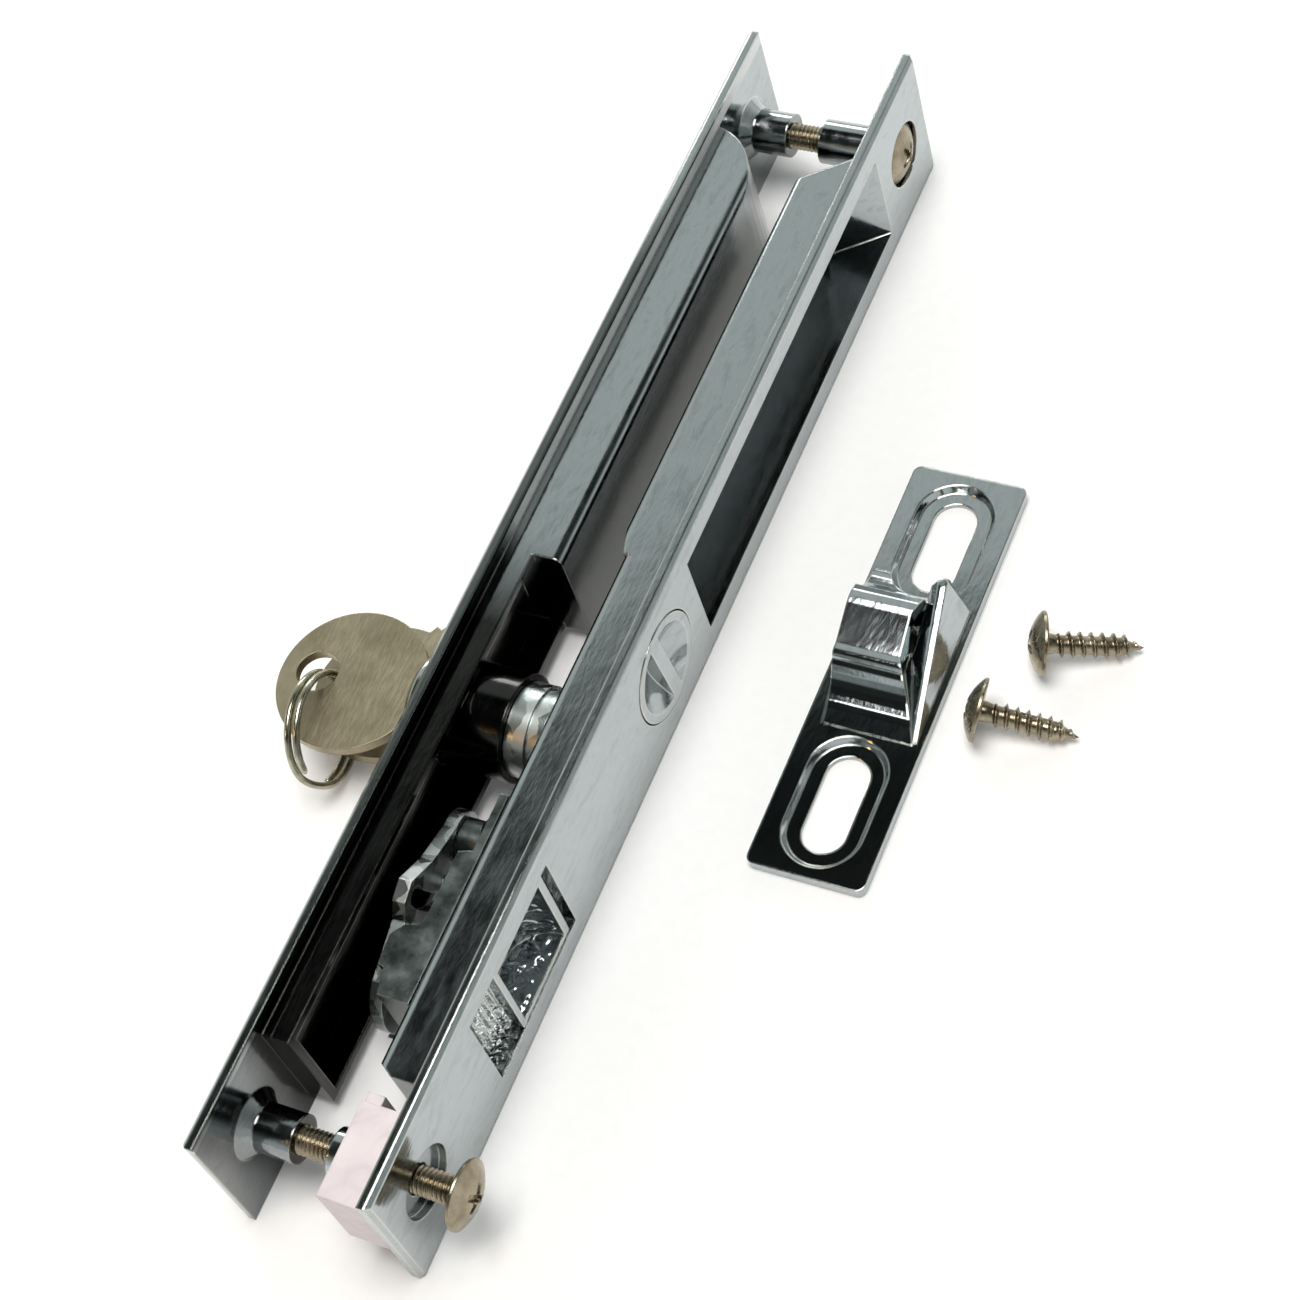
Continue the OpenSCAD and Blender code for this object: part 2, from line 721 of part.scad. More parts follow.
// Latch case: a stepped cover with an ear at each end and the hook's pivot boss
module latch_case() {
    half = case_w / 2;
    play = slide_play;
    pin_r = pin_d / 2 + play;
    color("dimgray")
        difference() {
            union() {
                translate([tray_back, 0, 0])
                    mirror([1, 0, 0])
                        along_z(mid_z - half, mid_z + half)
                            polygon(case_outline(0));
                block([tray_back - ear_t, case_y1 - 1, mid_z - half],
                      [tray_back, pivot_y + 5, mid_z + half]);
                block([tray_back - ear_t, lower_screw[0] - 4, mid_z - 5.5],
                      [tray_back, case_y1 - case_l + 1, mid_z + 5.5]);
                rod_x(hook_x1 + 0.2, tray_back - ear_t + tiny, pivot_y, pivot_z, 4);
            }
            translate([tray_back + tiny, 0, 0])
                mirror([1, 0, 0])
                    along_z(mid_z - half + case_wall, mid_z + half - case_wall)
                        polygon(case_outline(case_wall));
            for (y = [drive_y, drive_y - travel])
                rod_x(tray_back - case_high - 1, tray_back + 1, y, drive_z, pin_r);
            block([tray_back - case_high - 1, drive_y - travel, drive_z - pin_r],
                  [tray_back + 1, drive_y, drive_z + pin_r]);
            rod_x(hook_x1 - 1, tray_back + 1, pivot_y, pivot_z, pivot_d / 2);
            for (p = concat(upper_screws, [lower_screw]))
                rod_x(tray_back - 4, tray_back + 1, p[0], p[1], case_screw_d / 2);
        }
}

module case_screws() {
    color("gray")
        for (p = concat(upper_screws, [lower_screw])) {
            rod_x(tray_back - ear_t, tray_back + screw_reach - 1, p[0], p[1], case_screw_d / 2);
            translate([tray_back - ear_t, p[0], p[1]])
                rotate([0, -90, 0])
                    domed_head(5.2, 1.8, 2.6);
        }
}

module hook_pivot() {
    color("silver") {
        rod_x(hook_x0 - 0.3, tray_back - 0.3, pivot_y, pivot_z, pivot_d / 2);
        translate([hook_x0 - 0.2, pivot_y, pivot_z])
            rotate([0, -90, 0])
                intersection() {
                    cylinder(d = 8, h = 1.2);
                    translate([0, 0, -6.6])
                        sphere(r = 7.8);
                }
    }
}

// Path of the drive pin as the hook sees it, t from rest (0) to thrown (1)
function pin_path(t) = turned([-pin_start - travel * t, -pin_drop], -hook_swing * t);

// Direction of the path, and the slot's half width: the pin and its play
function path_angle(t) = let (d = pin_path(t + 0.01) - pin_path(t - 0.01)) atan2(d[1], d[0]);
slot_half_w = pin_d / 2 + 0.2;

// Outline of the slot: the path widened to both sides, with round ends
function path_side(t, side) =
    let (a = path_angle(t) + side * 90) pin_path(t) + slot_half_w * [cos(a), sin(a)];
slot_steps = 12;
slot_outline = concat(
    [for (i = [0:slot_steps]) path_side(i / slot_steps, 1)],
    arc(pin_path(1), slot_half_w, path_angle(1) + 75, path_angle(1) - 75, 10),
    [for (i = [0:slot_steps]) path_side(1 - i / slot_steps, -1)],
    arc(pin_path(0), slot_half_w, path_angle(0) - 105, path_angle(0) - 255, 10));

// Hook plate, drawn as (y, z) about its pivot
module latch_hook() {
    color("silver")
        difference() {
            along_x(hook_x0, hook_x1)
                translate([pivot_y, pivot_z])
                    difference() {
                        polygon(concat(
                            arc([0, 0], 5, 95, -115, 20),
                            arc([-7, -4], 4, -100, -160, 4),
                            [[-13.4, -1.6], [-17.5, 1.2], [-21, 2]],
                            arc([-25.2, -3.6], 6, 75, 160, 6),
                            [[-30.8, -7.5], [-30.6, -10.4], [-31.8, -11.4], [-33.4, -10.8]],
                            arc([-25, -4.6], 9.2, 222, 120, 8),
                            [[-19.5, 6.5], [-17.5, 9.6], [-14, 10.8], [-8, 7.2]]));
                        polygon(slot_outline);
                    }
            rod_x(hook_x0 - 1, hook_x1 + 1, pivot_y, pivot_z, pivot_d / 2 + run_gap);
        }
}

module cylinder_body() {
    r = rim_d / 2;
    color("lightgray")
        on_outside()
            translate([0, cyl_y, mid_z])
                rotate([0, 90, 0])
                    rotate_extrude()
                        polygon([[plug_d / 2 + run_gap, -rim_t], [r - 1, -rim_t], [r, -rim_t + 1], [r, 0],
                                 [cyl_d / 2, 0], [cyl_d / 2, boss_l], [plug_d / 2 + run_gap, boss_l]]);
}

tenon = 5;
tenon_l = 3.5;
wafer_t = 0.55;
function wafer_at(i) = 0.6 + i * 2.5;

// Turning plug with its keyway and wafer slots
module cylinder_plug() {
    color("khaki")
        on_outside()
            difference() {
                union() {
                    rod_x(-rim_t, drum_start, cyl_y, mid_z, plug_d / 2);
                    block([drum_start - tiny, cyl_y - tenon / 2, mid_z - tenon / 2],
                          [drum_start + tenon_l, cyl_y + tenon / 2, mid_z + tenon / 2]);
                }
                block([-rim_t - 1, cyl_y - blade_w / 2 - 0.2, mid_z - key_t / 2 - 0.2],
                      [boss_l - 2.4, cyl_y + blade_w / 2 + 0.2, mid_z + key_t / 2 + 0.2]);
                for (i = [0:wafer_count - 1])
                    block([wafer_at(i) - 0.1, cyl_y - plug_d, mid_z - 2.7],
                          [wafer_at(i) + wafer_t + 0.1, cyl_y + plug_d, mid_z + 2.7]);
                rod_x(boss_l - 1.7, drum_start + tenon_l + 1, cyl_y, mid_z, 1.25);
            }
}

// Tumbler wafers, each with a window that the key passes through
module tumbler_wafers() {
    half = plug_d / 2 - 0.9;
    color("goldenrod")
        on_outside()
            for (i = [0:wafer_count - 1])
                difference() {
                    block([wafer_at(i), cyl_y - half, mid_z - 2.6],
                          [wafer_at(i) + wafer_t, cyl_y + half, mid_z + 2.6]);
                    block([wafer_at(i) - 1, cyl_y - blade_w / 2 - 0.15, mid_z - key_t / 2 - 0.15],
                          [wafer_at(i) + 2, cyl_y + blade_w / 2 + 0.15, mid_z + key_t / 2 + 0.15]);
                }
}

// Crank drum with its pin, which reaches into the slide bar
module crank_drum() {
    pin_y = cyl_y + travel / 2;
    pin_z = mid_z - travel / 2;
    color("silver")
        on_outside()
            difference() {
                union() {
                    rod_x(drum_start, drum_end - 2.8, cyl_y, mid_z, drum_d / 2);
                    rod_x(drum_start + 1, drum_end, cyl_y, mid_z, drum_d / 2 - 0.5);
                    rod_x(drum_end - 1, clamp_d - tray_d + 2.2, pin_y, pin_z, pin_d / 2);
                }
                block([0, cyl_y - tenon / 2, mid_z - tenon / 2],
                      [drum_start + tenon_l, cyl_y + tenon / 2, mid_z + tenon / 2]);
                rod_x(0, drum_end + 1, cyl_y, mid_z, 1.25);
                rod_x(drum_end - 2, drum_end + 1, cyl_y, mid_z, 3);
            }
}

module drum_screw() {
    color("gray")
        on_outside() {
            rod_x(boss_l - 1.5, drum_end - 2, cyl_y, mid_z, 1.25);
            translate([drum_end - 2, cyl_y, mid_z])
                rotate([0, 90, 0])
                    domed_head(5.4, 1.7, 2.8);
        }
}

module key() {
    color("darkkhaki")
        translate([bow_x, cyl_y, mid_z])
            key_shape();
}

module spare_key() {
    color("darkkhaki")
        translate(spare_centre)
            rotate([0, 0, spare_turn])
                rotate([0, spare_tilt, 0])
                    key_shape();
}

// Route of the split ring's wire about its own X axis: two flat turns joined by a jog
function ring_point(a) =
    let (s = min(1, max(0, (a - 335) / 50)), jog = s * s * (3 - 2 * s))
    [ring_pitch * (jog - 0.5), ring_r * cos(a + 200), ring_r * sin(a + 200)];

ring_steps = 44;
ring_sides = 6;
ring_angles = [for (i = [0:ring_steps]) 30 + i * 15];

// Ring of points round the wire at one angle
function ring_section(a) =
    let (p = ring_point(a), out = [0, cos(a + 200), sin(a + 200)])
    [for (k = [0:ring_sides - 1])
        let (b = 360 * k / ring_sides)
        p + ring_wire / 2 * (cos(b) * out + sin(b) * [1, 0, 0])];

// Least gap between the two turns, measured on the sections' points
ring_points = [for (a = ring_angles) for (p = ring_section(a)) p];
ring_gap = min([for (i = [0:10]) for (j = [i + 22:i + 26])
    for (k = [0:ring_sides - 1]) for (m = [0:ring_sides - 1])
        norm(ring_points[i * ring_sides + k] - ring_points[min(j, ring_steps) * ring_sides + m])]);
echo(ring_gap = ring_gap);

module key_ring() {
    n = ring_sides;
    last = ring_steps * n;
    color("gray")
        translate(ring_centre)
            rotate(ring_turn)
                polyhedron(
                    points = ring_points,
                    faces = concat(
                        [[for (k = [0:n - 1]) k]],
                        [[for (k = [n - 1:-1:0]) last + k]],
                        [for (i = [0:ring_steps - 1]) for (k = [0:n - 1])
                            [i * n + k, (i + 1) * n + k, (i + 1) * n + (k + 1) % n]],
                        [for (i = [0:ring_steps - 1]) for (k = [0:n - 1])
                            [i * n + k, (i + 1) * n + (k + 1) % n, i * n + (k + 1) % n]]));
}

// Keeper: plate with two slots and a hooked nose guarded by a fin
module keeper() {
    w = keeper_w / 2;
    l = keeper_l / 2;
    t = keeper_t;
    h = nose_h;
    corner = 1.5;
    color("lightgray")
        translate(keeper_at)
            difference() {
                union() {
                    linear_extrude(t)
                        polygon(concat(arc([w - corner, l - corner], corner, 0, 90, 4),
                                       arc([corner - w, l - corner], corner, 90, 180, 4),
                                       arc([corner - w, corner - l], corner, 180, 270, 4),
                                       arc([w - corner, corner - l], corner, 270, 360, 4)));
                    intersection() {
                        along_x(-w + 0.6, w - 1.6)
                            polygon(concat([[18.8, t / 2], [18.8, t + 0.3]], arc([19.4, h + 1.2], 8, 262, 196, 8),
                                           [[10.2, h - 0.3], [8.6, h], [7.4, h - 0.3], [0, h - 1.9]],
                                           arc([-1.2, h - 3.1], 1.4, 70, 175, 5),
                                           arc([-10.2, t + 8.1], 8, -34, -88, 6),
                                           [[-13.2, t + 0.1], [-13.2, t / 2]]));
                        linear_extrude(20)
                            polygon([[0.6 - w, 19], [0.9 - w, 7], [1.6 - w, -3], [3 - w, -13.2],
                                     [w - 1.7, -13.2], [2.6, 0], [2, 8], [4.6, 19]]);
                    }
                    hull() {
                        translate([4.6, 15.6, t / 2])
                            cylinder(r = 1.6, h = h - t / 2 - 1.2, $fn = 32);
                        translate([5, 15.4, t / 2])
                            cylinder(r = 0.9, h = h - t / 2 - 0.2, $fn = 32);
                        block([2.6, 4, t / 2], [w - 1.2, 14.5, t + 0.4]);
                        block([w - 2, -12.6, t / 2], [w - 1.2, -11.6, t + 0.2]);
                    }
                }
                for (s = [-1, 1])
                    slot_cut(s * slot_spacing / 2);
            }
}

wood_head_h = 2.8;
wood_point = 3.4;

// Truss-head screw: head at the origin, point along +X
module wood_screw() {
    r = wood_d / 2;
    neck = 2.2;
    under = wood_l - wood_head_h;
    rotate([0, -90, 0])
        domed_head(wood_head_d, wood_head_h, 4.8);
    rod_x(-tiny, neck, 0, 0, r - 0.35);
    rod_x(neck - tiny, under - wood_point, 0, 0, r);
    cone_x(under - wood_point - tiny, under, 0, 0, r, 0.2);
}

// Both screws lie on the table on their head's rim and their point
module keeper_screws() {
    lean = atan((wood_head_d / 2 - wood_d / 2) / (wood_l - wood_head_h - wood_point));
    color("tan")
        for (i = [0:1])
            translate([wood_heads[i][0], wood_heads[i][1], wood_head_d / 2 * cos(lean) + 0.02])
                rotate([0, 0, wood_turns[i]])
                    rotate([0, lean, 0])
                        wood_screw();
}

outside_plate();
inside_plate();
clamp_screw_top();
clamp_screw_bottom();
spacer_block();
thumb_turn();
thumb_turn_cam();
thumb_turn_clip();
thumb_slide();
slide_bar();
drive_pin();
latch_case();
case_screws();
hook_pivot();
latch_hook();
cylinder_body();
cylinder_plug();
tumbler_wafers();
crank_drum();
drum_screw();
key();
key_ring();
spare_key();
keeper();
keeper_screws();
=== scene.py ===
import math
import bpy
import numpy as np
from mathutils import Matrix, Vector


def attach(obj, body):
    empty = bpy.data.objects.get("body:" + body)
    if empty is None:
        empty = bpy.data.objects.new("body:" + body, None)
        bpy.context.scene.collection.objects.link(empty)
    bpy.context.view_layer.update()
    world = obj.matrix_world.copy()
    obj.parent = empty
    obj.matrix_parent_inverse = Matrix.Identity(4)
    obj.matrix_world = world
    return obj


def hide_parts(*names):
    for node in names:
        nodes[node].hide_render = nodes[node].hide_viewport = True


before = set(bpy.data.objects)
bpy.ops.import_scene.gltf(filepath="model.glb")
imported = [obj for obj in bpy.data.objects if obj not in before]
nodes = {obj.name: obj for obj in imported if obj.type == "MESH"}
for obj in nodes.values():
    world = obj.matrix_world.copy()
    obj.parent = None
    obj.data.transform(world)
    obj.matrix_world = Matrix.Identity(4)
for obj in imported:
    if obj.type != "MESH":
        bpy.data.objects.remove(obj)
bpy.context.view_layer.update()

# Outside plate: one zinc die casting with its finger tub, lower channel, cylinder boss
# and two tapped posts. Polished, then plated with copper, nickel and bright chrome.


def linear(code):
    """sRGB hex code to linear RGBA: each channel c becomes c/12.92, or ((c+0.055)/1.055)^2.4."""
    out = []
    for k in (1, 3, 5):
        c = int(code[k:k + 2], 16) / 255
        out.append(c / 12.92 if c <= 0.04045 else ((c + 0.055) / 1.055) ** 2.4)
    return (*out, 1.0)


def new_material(name):
    """A material with an empty node tree, and its Output node."""
    material = bpy.data.materials.new(name)
    material.use_nodes = True
    material.node_tree.nodes.clear()
    out = material.node_tree.nodes.new("ShaderNodeOutputMaterial")
    return material, out


def add_node(tree, kind, inputs=None, stops=(), **settings):
    """Adds a node of a kind, sets its settings and the stops (place, hex code) of its colour
    ramp, if any, then fills or links its inputs."""
    node = tree.nodes.new(kind)
    for name, value in settings.items():
        setattr(node, name, value)
    if stops:
        ends = node.color_ramp.elements
        ends[0].position, ends[0].color = stops[0][0], linear(stops[0][1])
        ends[1].position, ends[1].color = stops[-1][0], linear(stops[-1][1])
    for place, code in stops[1:-1]:
        node.color_ramp.elements.new(place).color = linear(code)
    for socket, value in (inputs or {}).items():
        if isinstance(value, bpy.types.NodeSocket):
            tree.links.new(value, node.inputs[socket])
        else:
            node.inputs[socket].default_value = value
    return node


def box_of(name):
    """Lowest and highest corner of a CAD node, in millimetres to the nearest tenth."""
    points = np.array([corner.co for corner in nodes[name].data.vertices]) * 1000.0
    return points.min(0).round(1), points.max(0).round(1)


def per_metre(grain):
    """Scale of a pattern whose grain is this many millimetres wide. Polishing lines and grit
    finer than 0.4 mm don't show in the render, so the finest grain is drawn that wide."""
    return 1000.0 / grain


def dress(name, material):
    """Gives a CAD node's own object one material in its slots."""
    data = nodes[name].data
    data.materials.clear()
    data.materials.append(material)


# Bright chrome over a polished casting: a mirror that bends its reflections a little, as
# the casting under it ripples over 14 mm. Polishing along the piece leaves a fine drawn
# skin, and storage leaves a thin haze in drawn-out patches a few millimetres wide.
def chrome(name, recess_shade_share, painted_shading_share=0.0, skin_height=0.000014, dent_height=0.0, crown=0.0,
           crown_y=0.0, dullest=0.2):
    """Chrome whose deep recesses get painted shade by recess_shade_share, and whose outside
    plate's back gets painted shade and painted light by painted_shading_share. The relief of
    the skin is skin_height, and that of dents 3 mm wide behind the front is dent_height, in
    metres. A buffed face falls off by crown times the square of the distance from crown_y.
    The haze is as rough as dullest."""
    material, out = new_material(name)
    t = material.node_tree
    place = add_node(t, "ShaderNodeTexCoord").outputs["Object"]
    ripple = add_node(t, "ShaderNodeTexNoise", {"Vector": place, "Scale": per_metre(14.29),
                                                "Detail": 2.0})
    drawn = add_node(t, "ShaderNodeMapping", {"Vector": place, "Scale": (1.0, 0.3, 1.0)})
    peel = add_node(t, "ShaderNodeTexNoise", {"Vector": drawn.outputs["Vector"],
                                              "Scale": per_metre(0.7143), "Detail": 3.0})
    smear = add_node(t, "ShaderNodeTexNoise", {"Vector": drawn.outputs["Vector"],
                                               "Scale": per_metre(2.381), "Detail": 6.0,
                                               "Roughness": 0.7, "Distortion": 0.4})
    soft_edge = add_node(t, "ShaderNodeBevel", {"Radius": 0.0005}, samples=6)
    sharp = add_node(t, "ShaderNodeNewGeometry")
    facing = add_node(t, "ShaderNodeVectorMath",
                      {0: soft_edge.outputs["Normal"], 1: sharp.outputs["Normal"]},
                      operation="DOT_PRODUCT")
    edge = add_node(t, "ShaderNodeMapRange", {"Value": facing.outputs["Value"], "From Min": 0.995,
                                              "From Max": 0.93, "To Min": 0.0, "To Max": 1.0})
    tint = add_node(t, "ShaderNodeValToRGB", {"Fac": smear.outputs["Fac"]},
                    [(0.3, "#A8AEB0"), (0.5, "#B4BABC"), (0.7, "#A1A8AA")]).outputs["Color"]
    # Edges are mixed toward a pale warm grey: partly wear through the chrome, partly a painted
    # highlight along them.
    edge_tinted = add_node(t, "ShaderNodeMix", {"Factor": edge.outputs["Result"], "A": tint,
                                         "B": linear("#DBDAD2")}, data_type="RGBA")
    # Chrome hardly plates into deep recesses, which leaves duller, warmer nickel there. Found by
    # ambient occlusion, these recesses are mixed toward a warm near-black, which is painted shade.
    shelter = add_node(t, "ShaderNodeAmbientOcclusion", {"Distance": 0.028}, samples=6)
    recess_shade = add_node(t, "ShaderNodeMapRange", {"Value": shelter.outputs["AO"], "From Min": 0.6,
                                              "From Max": 0.25, "To Min": 0.0, "To Max": recess_shade_share})
    recess_shaded = add_node(t, "ShaderNodeMix", {"Factor": recess_shade.outputs["Result"],
                                           "A": edge_tinted.outputs["Result"],
                                           "B": linear("#4E504A")}, data_type="RGBA")
    # Painted shade and dark reflection: a near-black tint on the outside plate starts below Y 4 mm and
    # ends at Z 28.4 mm. It is left off the outer face, beyond X -35.8 mm, and fades to 0.45 of its
    # strength from Y -96 to -104 mm.
    at = add_node(t, "ShaderNodeSeparateXYZ", {"Vector": place})
    lower = add_node(t, "ShaderNodeMapRange", {"Value": at.outputs["Y"], "From Min": 0.004,
                                               "From Max": -0.016, "To Min": 0.0,
                                               "To Max": painted_shading_share})
    under = add_node(t, "ShaderNodeMapRange", {"Value": at.outputs["Z"], "From Min": 0.0286,
                                               "From Max": 0.0282, "To Min": 0.0, "To Max": 1.0})
    painted_dark = add_node(t, "ShaderNodeMath", {0: lower.outputs["Result"], 1: under.outputs["Result"]},
                    operation="MULTIPLY")
    behind = add_node(t, "ShaderNodeMapRange", {"Value": at.outputs["X"], "From Min": -0.0358,
                                                "From Max": -0.0353, "To Min": 0.0, "To Max": 1.15})
    painted_dark = add_node(t, "ShaderNodeMath", {0: painted_dark.outputs["Value"], 1: behind.outputs["Result"]},
                    operation="MULTIPLY", use_clamp=True)
    lower_end_fade = add_node(t, "ShaderNodeMapRange", {"Value": at.outputs["Y"], "From Min": -0.104,
                                               "From Max": -0.096, "To Min": 0.45, "To Max": 1.0})
    painted_dark = add_node(t, "ShaderNodeMath", {0: painted_dark.outputs["Value"], 1: lower_end_fade.outputs["Result"]},
                    operation="MULTIPLY")
    darkened = add_node(t, "ShaderNodeMix", {"Factor": painted_dark.outputs["Value"],
                                          "A": recess_shaded.outputs["Result"],
                                          "B": linear("#1A160F")}, data_type="RGBA")
    # Painted shade: the same plate's edge, above Z 29 mm, is tinted dark grey below Y 85 mm. Painted
    # light: its step down to the tub, above Z 26.8 mm, is tinted near white, and it is also rougher,
    # like a tumbled satin face.
    rim = add_node(t, "ShaderNodeMapRange", {"Value": at.outputs["Z"], "From Min": 0.029,
                                             "From Max": 0.0296, "To Min": 0.0, "To Max": painted_shading_share})
    along = add_node(t, "ShaderNodeMapRange", {"Value": at.outputs["Y"], "From Min": 0.085,
                                               "From Max": 0.06, "To Min": 0.0, "To Max": 1.0})
    painted_edge_shade = add_node(t, "ShaderNodeMath", {0: rim.outputs["Result"], 1: along.outputs["Result"]},
                    operation="MULTIPLY")
    edge_shaded = add_node(t, "ShaderNodeMix", {"Factor": painted_edge_shade.outputs["Value"],
                                          "A": darkened.outputs["Result"],
                                          "B": linear("#545A58")}, data_type="RGBA")
    step = add_node(t, "ShaderNodeMapRange", {"Value": at.outputs["Z"], "From Min": 0.0268,
                                              "From Max": 0.0271, "To Min": 0.0, "To Max": painted_shading_share})
    upper = add_node(t, "ShaderNodeMapRange", {"Value": at.outputs["Y"], "From Min": -0.004,
                                               "From Max": 0.004, "To Min": 0.0, "To Max": 1.0})
    land = add_node(t, "ShaderNodeMath", {0: step.outputs["Result"], 1: upper.outputs["Result"]},
                    operation="MULTIPLY")
    land = add_node(t, "ShaderNodeMath", {0: land.outputs["Value"], 1: rim.outputs["Result"]},
                    operation="SUBTRACT", use_clamp=True)
    step_painted_light = add_node(t, "ShaderNodeMix", {"Factor": land.outputs["Value"],
                                          "A": edge_shaded.outputs["Result"],
                                          "B": linear("#F0F2F1")}, data_type="RGBA")
    rough = add_node(t, "ShaderNodeMapRange", {"Value": smear.outputs["Fac"], "From Min": 0.3,
                                               "From Max": 0.75, "To Min": 0.07, "To Max": dullest})
    rough = add_node(t, "ShaderNodeMath",
                     {0: land.outputs["Value"], 1: 0.6, 2: rough.outputs["Result"]},
                     operation="MULTIPLY_ADD")
    # Relief, from the widest to the finest: ripple, buffed crown, dents, drawn skin.
    bend = add_node(t, "ShaderNodeBump", {"Height": ripple.outputs["Fac"], "Strength": 1.0,
                                          "Distance": 0.00009, "Normal": soft_edge.outputs["Normal"]})
    off = add_node(t, "ShaderNodeMath", {0: at.outputs["Y"], 1: crown_y}, operation="SUBTRACT")
    fall = add_node(t, "ShaderNodeMath", {0: off.outputs["Value"], 1: off.outputs["Value"]},
                    operation="MULTIPLY")
    bowed = add_node(t, "ShaderNodeBump", {"Height": fall.outputs["Value"], "Strength": 1.0,
                                           "Distance": crown, "Normal": bend.outputs["Normal"]},
                     invert=True)
    dents = add_node(t, "ShaderNodeTexNoise", {"Vector": place, "Scale": per_metre(3.333),
                                               "Detail": 1.0, "Distortion": 1.0})
    inner = add_node(t, "ShaderNodeMapRange", {"Value": at.outputs["X"], "From Min": -0.0036,
                                               "From Max": -0.0044, "To Min": 0.0, "To Max": 1.0})
    dented = add_node(t, "ShaderNodeBump", {"Height": dents.outputs["Fac"],
                                            "Strength": inner.outputs["Result"],
                                            "Distance": dent_height, "Normal": bowed.outputs["Normal"]})
    skin = add_node(t, "ShaderNodeBump", {"Height": peel.outputs["Fac"], "Strength": 1.0,
                                          "Distance": skin_height, "Normal": dented.outputs["Normal"]})
    shader = add_node(t, "ShaderNodeBsdfPrincipled",
                      {"Base Color": step_painted_light.outputs["Result"], "Roughness": rough.outputs["Value"],
                       "Normal": skin.outputs["Normal"], "Metallic": 1.0})
    t.links.new(shader.outputs["BSDF"], out.inputs["Surface"])
    return material


# The outside plate carries painted shade in its lower channel and on its edge, and painted light on its
# step.
painted_shading_chrome = chrome("bright chrome with painted shading", recess_shade_share=0.9, painted_shading_share=0.8)
dress("outside_plate", painted_shading_chrome)

# Key cylinder: a chromed body pressed in the plate's boss, a nickel-silver plug that turns
# in it with five brass wafers, and a galvanised steel crank drum held by one screw.
small_chrome = chrome("bright chrome on polished small casting", recess_shade_share=0.25)
dress("cylinder_body", small_chrome)

# Nickel silver, milled and worn by pockets and keys: warm grey, satin, with fine marks.
key_metal, key_out = new_material("worn nickel silver")
t = key_metal.node_tree
place = add_node(t, "ShaderNodeTexCoord").outputs["Object"]
cloud = add_node(t, "ShaderNodeTexNoise", {"Vector": place, "Scale": per_metre(6.25), "Detail": 4.0})
along = add_node(t, "ShaderNodeMapping", {"Vector": place, "Scale": (1.0, 0.12, 1.0)})
mark = add_node(t, "ShaderNodeTexNoise", {"Vector": along.outputs["Vector"],
                                          "Scale": per_metre(0.4), "Detail": 4.0,
                                          "Roughness": 0.7})
soft_edge = add_node(t, "ShaderNodeBevel", {"Radius": 0.0003}, samples=4)
tint = add_node(t, "ShaderNodeValToRGB", {"Fac": cloud.outputs["Fac"]},
                [(0.3, "#8F866F"), (0.5, "#9C927A"), (0.68, "#A69C85")]).outputs["Color"]
rough = add_node(t, "ShaderNodeMapRange", {"Value": mark.outputs["Fac"], "From Min": 0.3,
                                           "From Max": 0.7, "To Min": 0.3, "To Max": 0.46})
scratch = add_node(t, "ShaderNodeBump", {"Height": mark.outputs["Fac"], "Strength": 0.6,
                                         "Distance": 0.00002, "Normal": soft_edge.outputs["Normal"]})
shader = add_node(t, "ShaderNodeBsdfPrincipled",
                  {"Base Color": tint, "Roughness": rough.outputs["Result"],
                   "Normal": scratch.outputs["Normal"], "Metallic": 1.0})
t.links.new(shader.outputs["BSDF"], key_out.inputs["Surface"])
dress("cylinder_plug", key_metal)

# Wafer brass, stamped from sheet: yellow, satin, hardly seen through the keyway.
wafer_brass, brass_out = new_material("stamped sheet brass")
t = wafer_brass.node_tree
place = add_node(t, "ShaderNodeTexCoord").outputs["Object"]
cloud = add_node(t, "ShaderNodeTexNoise", {"Vector": place, "Scale": per_metre(1.429), "Detail": 3.0})
tint = add_node(t, "ShaderNodeValToRGB", {"Fac": cloud.outputs["Fac"]},
                [(0.35, "#B8935A"), (0.65, "#CDA968")]).outputs["Color"]
press = add_node(t, "ShaderNodeBump", {"Height": cloud.outputs["Fac"], "Strength": 0.5,
                                       "Distance": 0.00002})
shader = add_node(t, "ShaderNodeBsdfPrincipled",
                  {"Base Color": tint, "Roughness": 0.34, "Normal": press.outputs["Normal"],
                   "Metallic": 1.0})
t.links.new(shader.outputs["BSDF"], brass_out.inputs["Surface"])
dress("tumbler_wafers", wafer_brass)

# Galvanised pressed steel: pale grey with the blotchy spangle of its zinc bath, whose
# grains are 2 to 4 mm wide and differ in shine.
zinc_steel, zinc_out = new_material("galvanised pressed steel")
t = zinc_steel.node_tree
place = add_node(t, "ShaderNodeTexCoord").outputs["Object"]
warp = add_node(t, "ShaderNodeTexNoise", {"Vector": place, "Scale": per_metre(3.846), "Detail": 3.0})
pushed = add_node(t, "ShaderNodeVectorMath", {0: warp.outputs["Color"], "Scale": 0.0016},
                  operation="SCALE")
moved = add_node(t, "ShaderNodeVectorMath", {0: place, 1: pushed.outputs["Vector"]},
                 operation="ADD")
spangle = add_node(t, "ShaderNodeTexVoronoi", {"Vector": moved.outputs["Vector"],
                                               "Scale": per_metre(2.632)})
grain = add_node(t, "ShaderNodeSeparateColor", {"Color": spangle.outputs["Color"]})
soft_edge = add_node(t, "ShaderNodeBevel", {"Radius": 0.0003}, samples=4)
tint = add_node(t, "ShaderNodeValToRGB", {"Fac": grain.outputs["Red"]},
                [(0.0, "#8F9795"), (0.5, "#B3BAB8"), (1.0, "#CBD0CE")]).outputs["Color"]
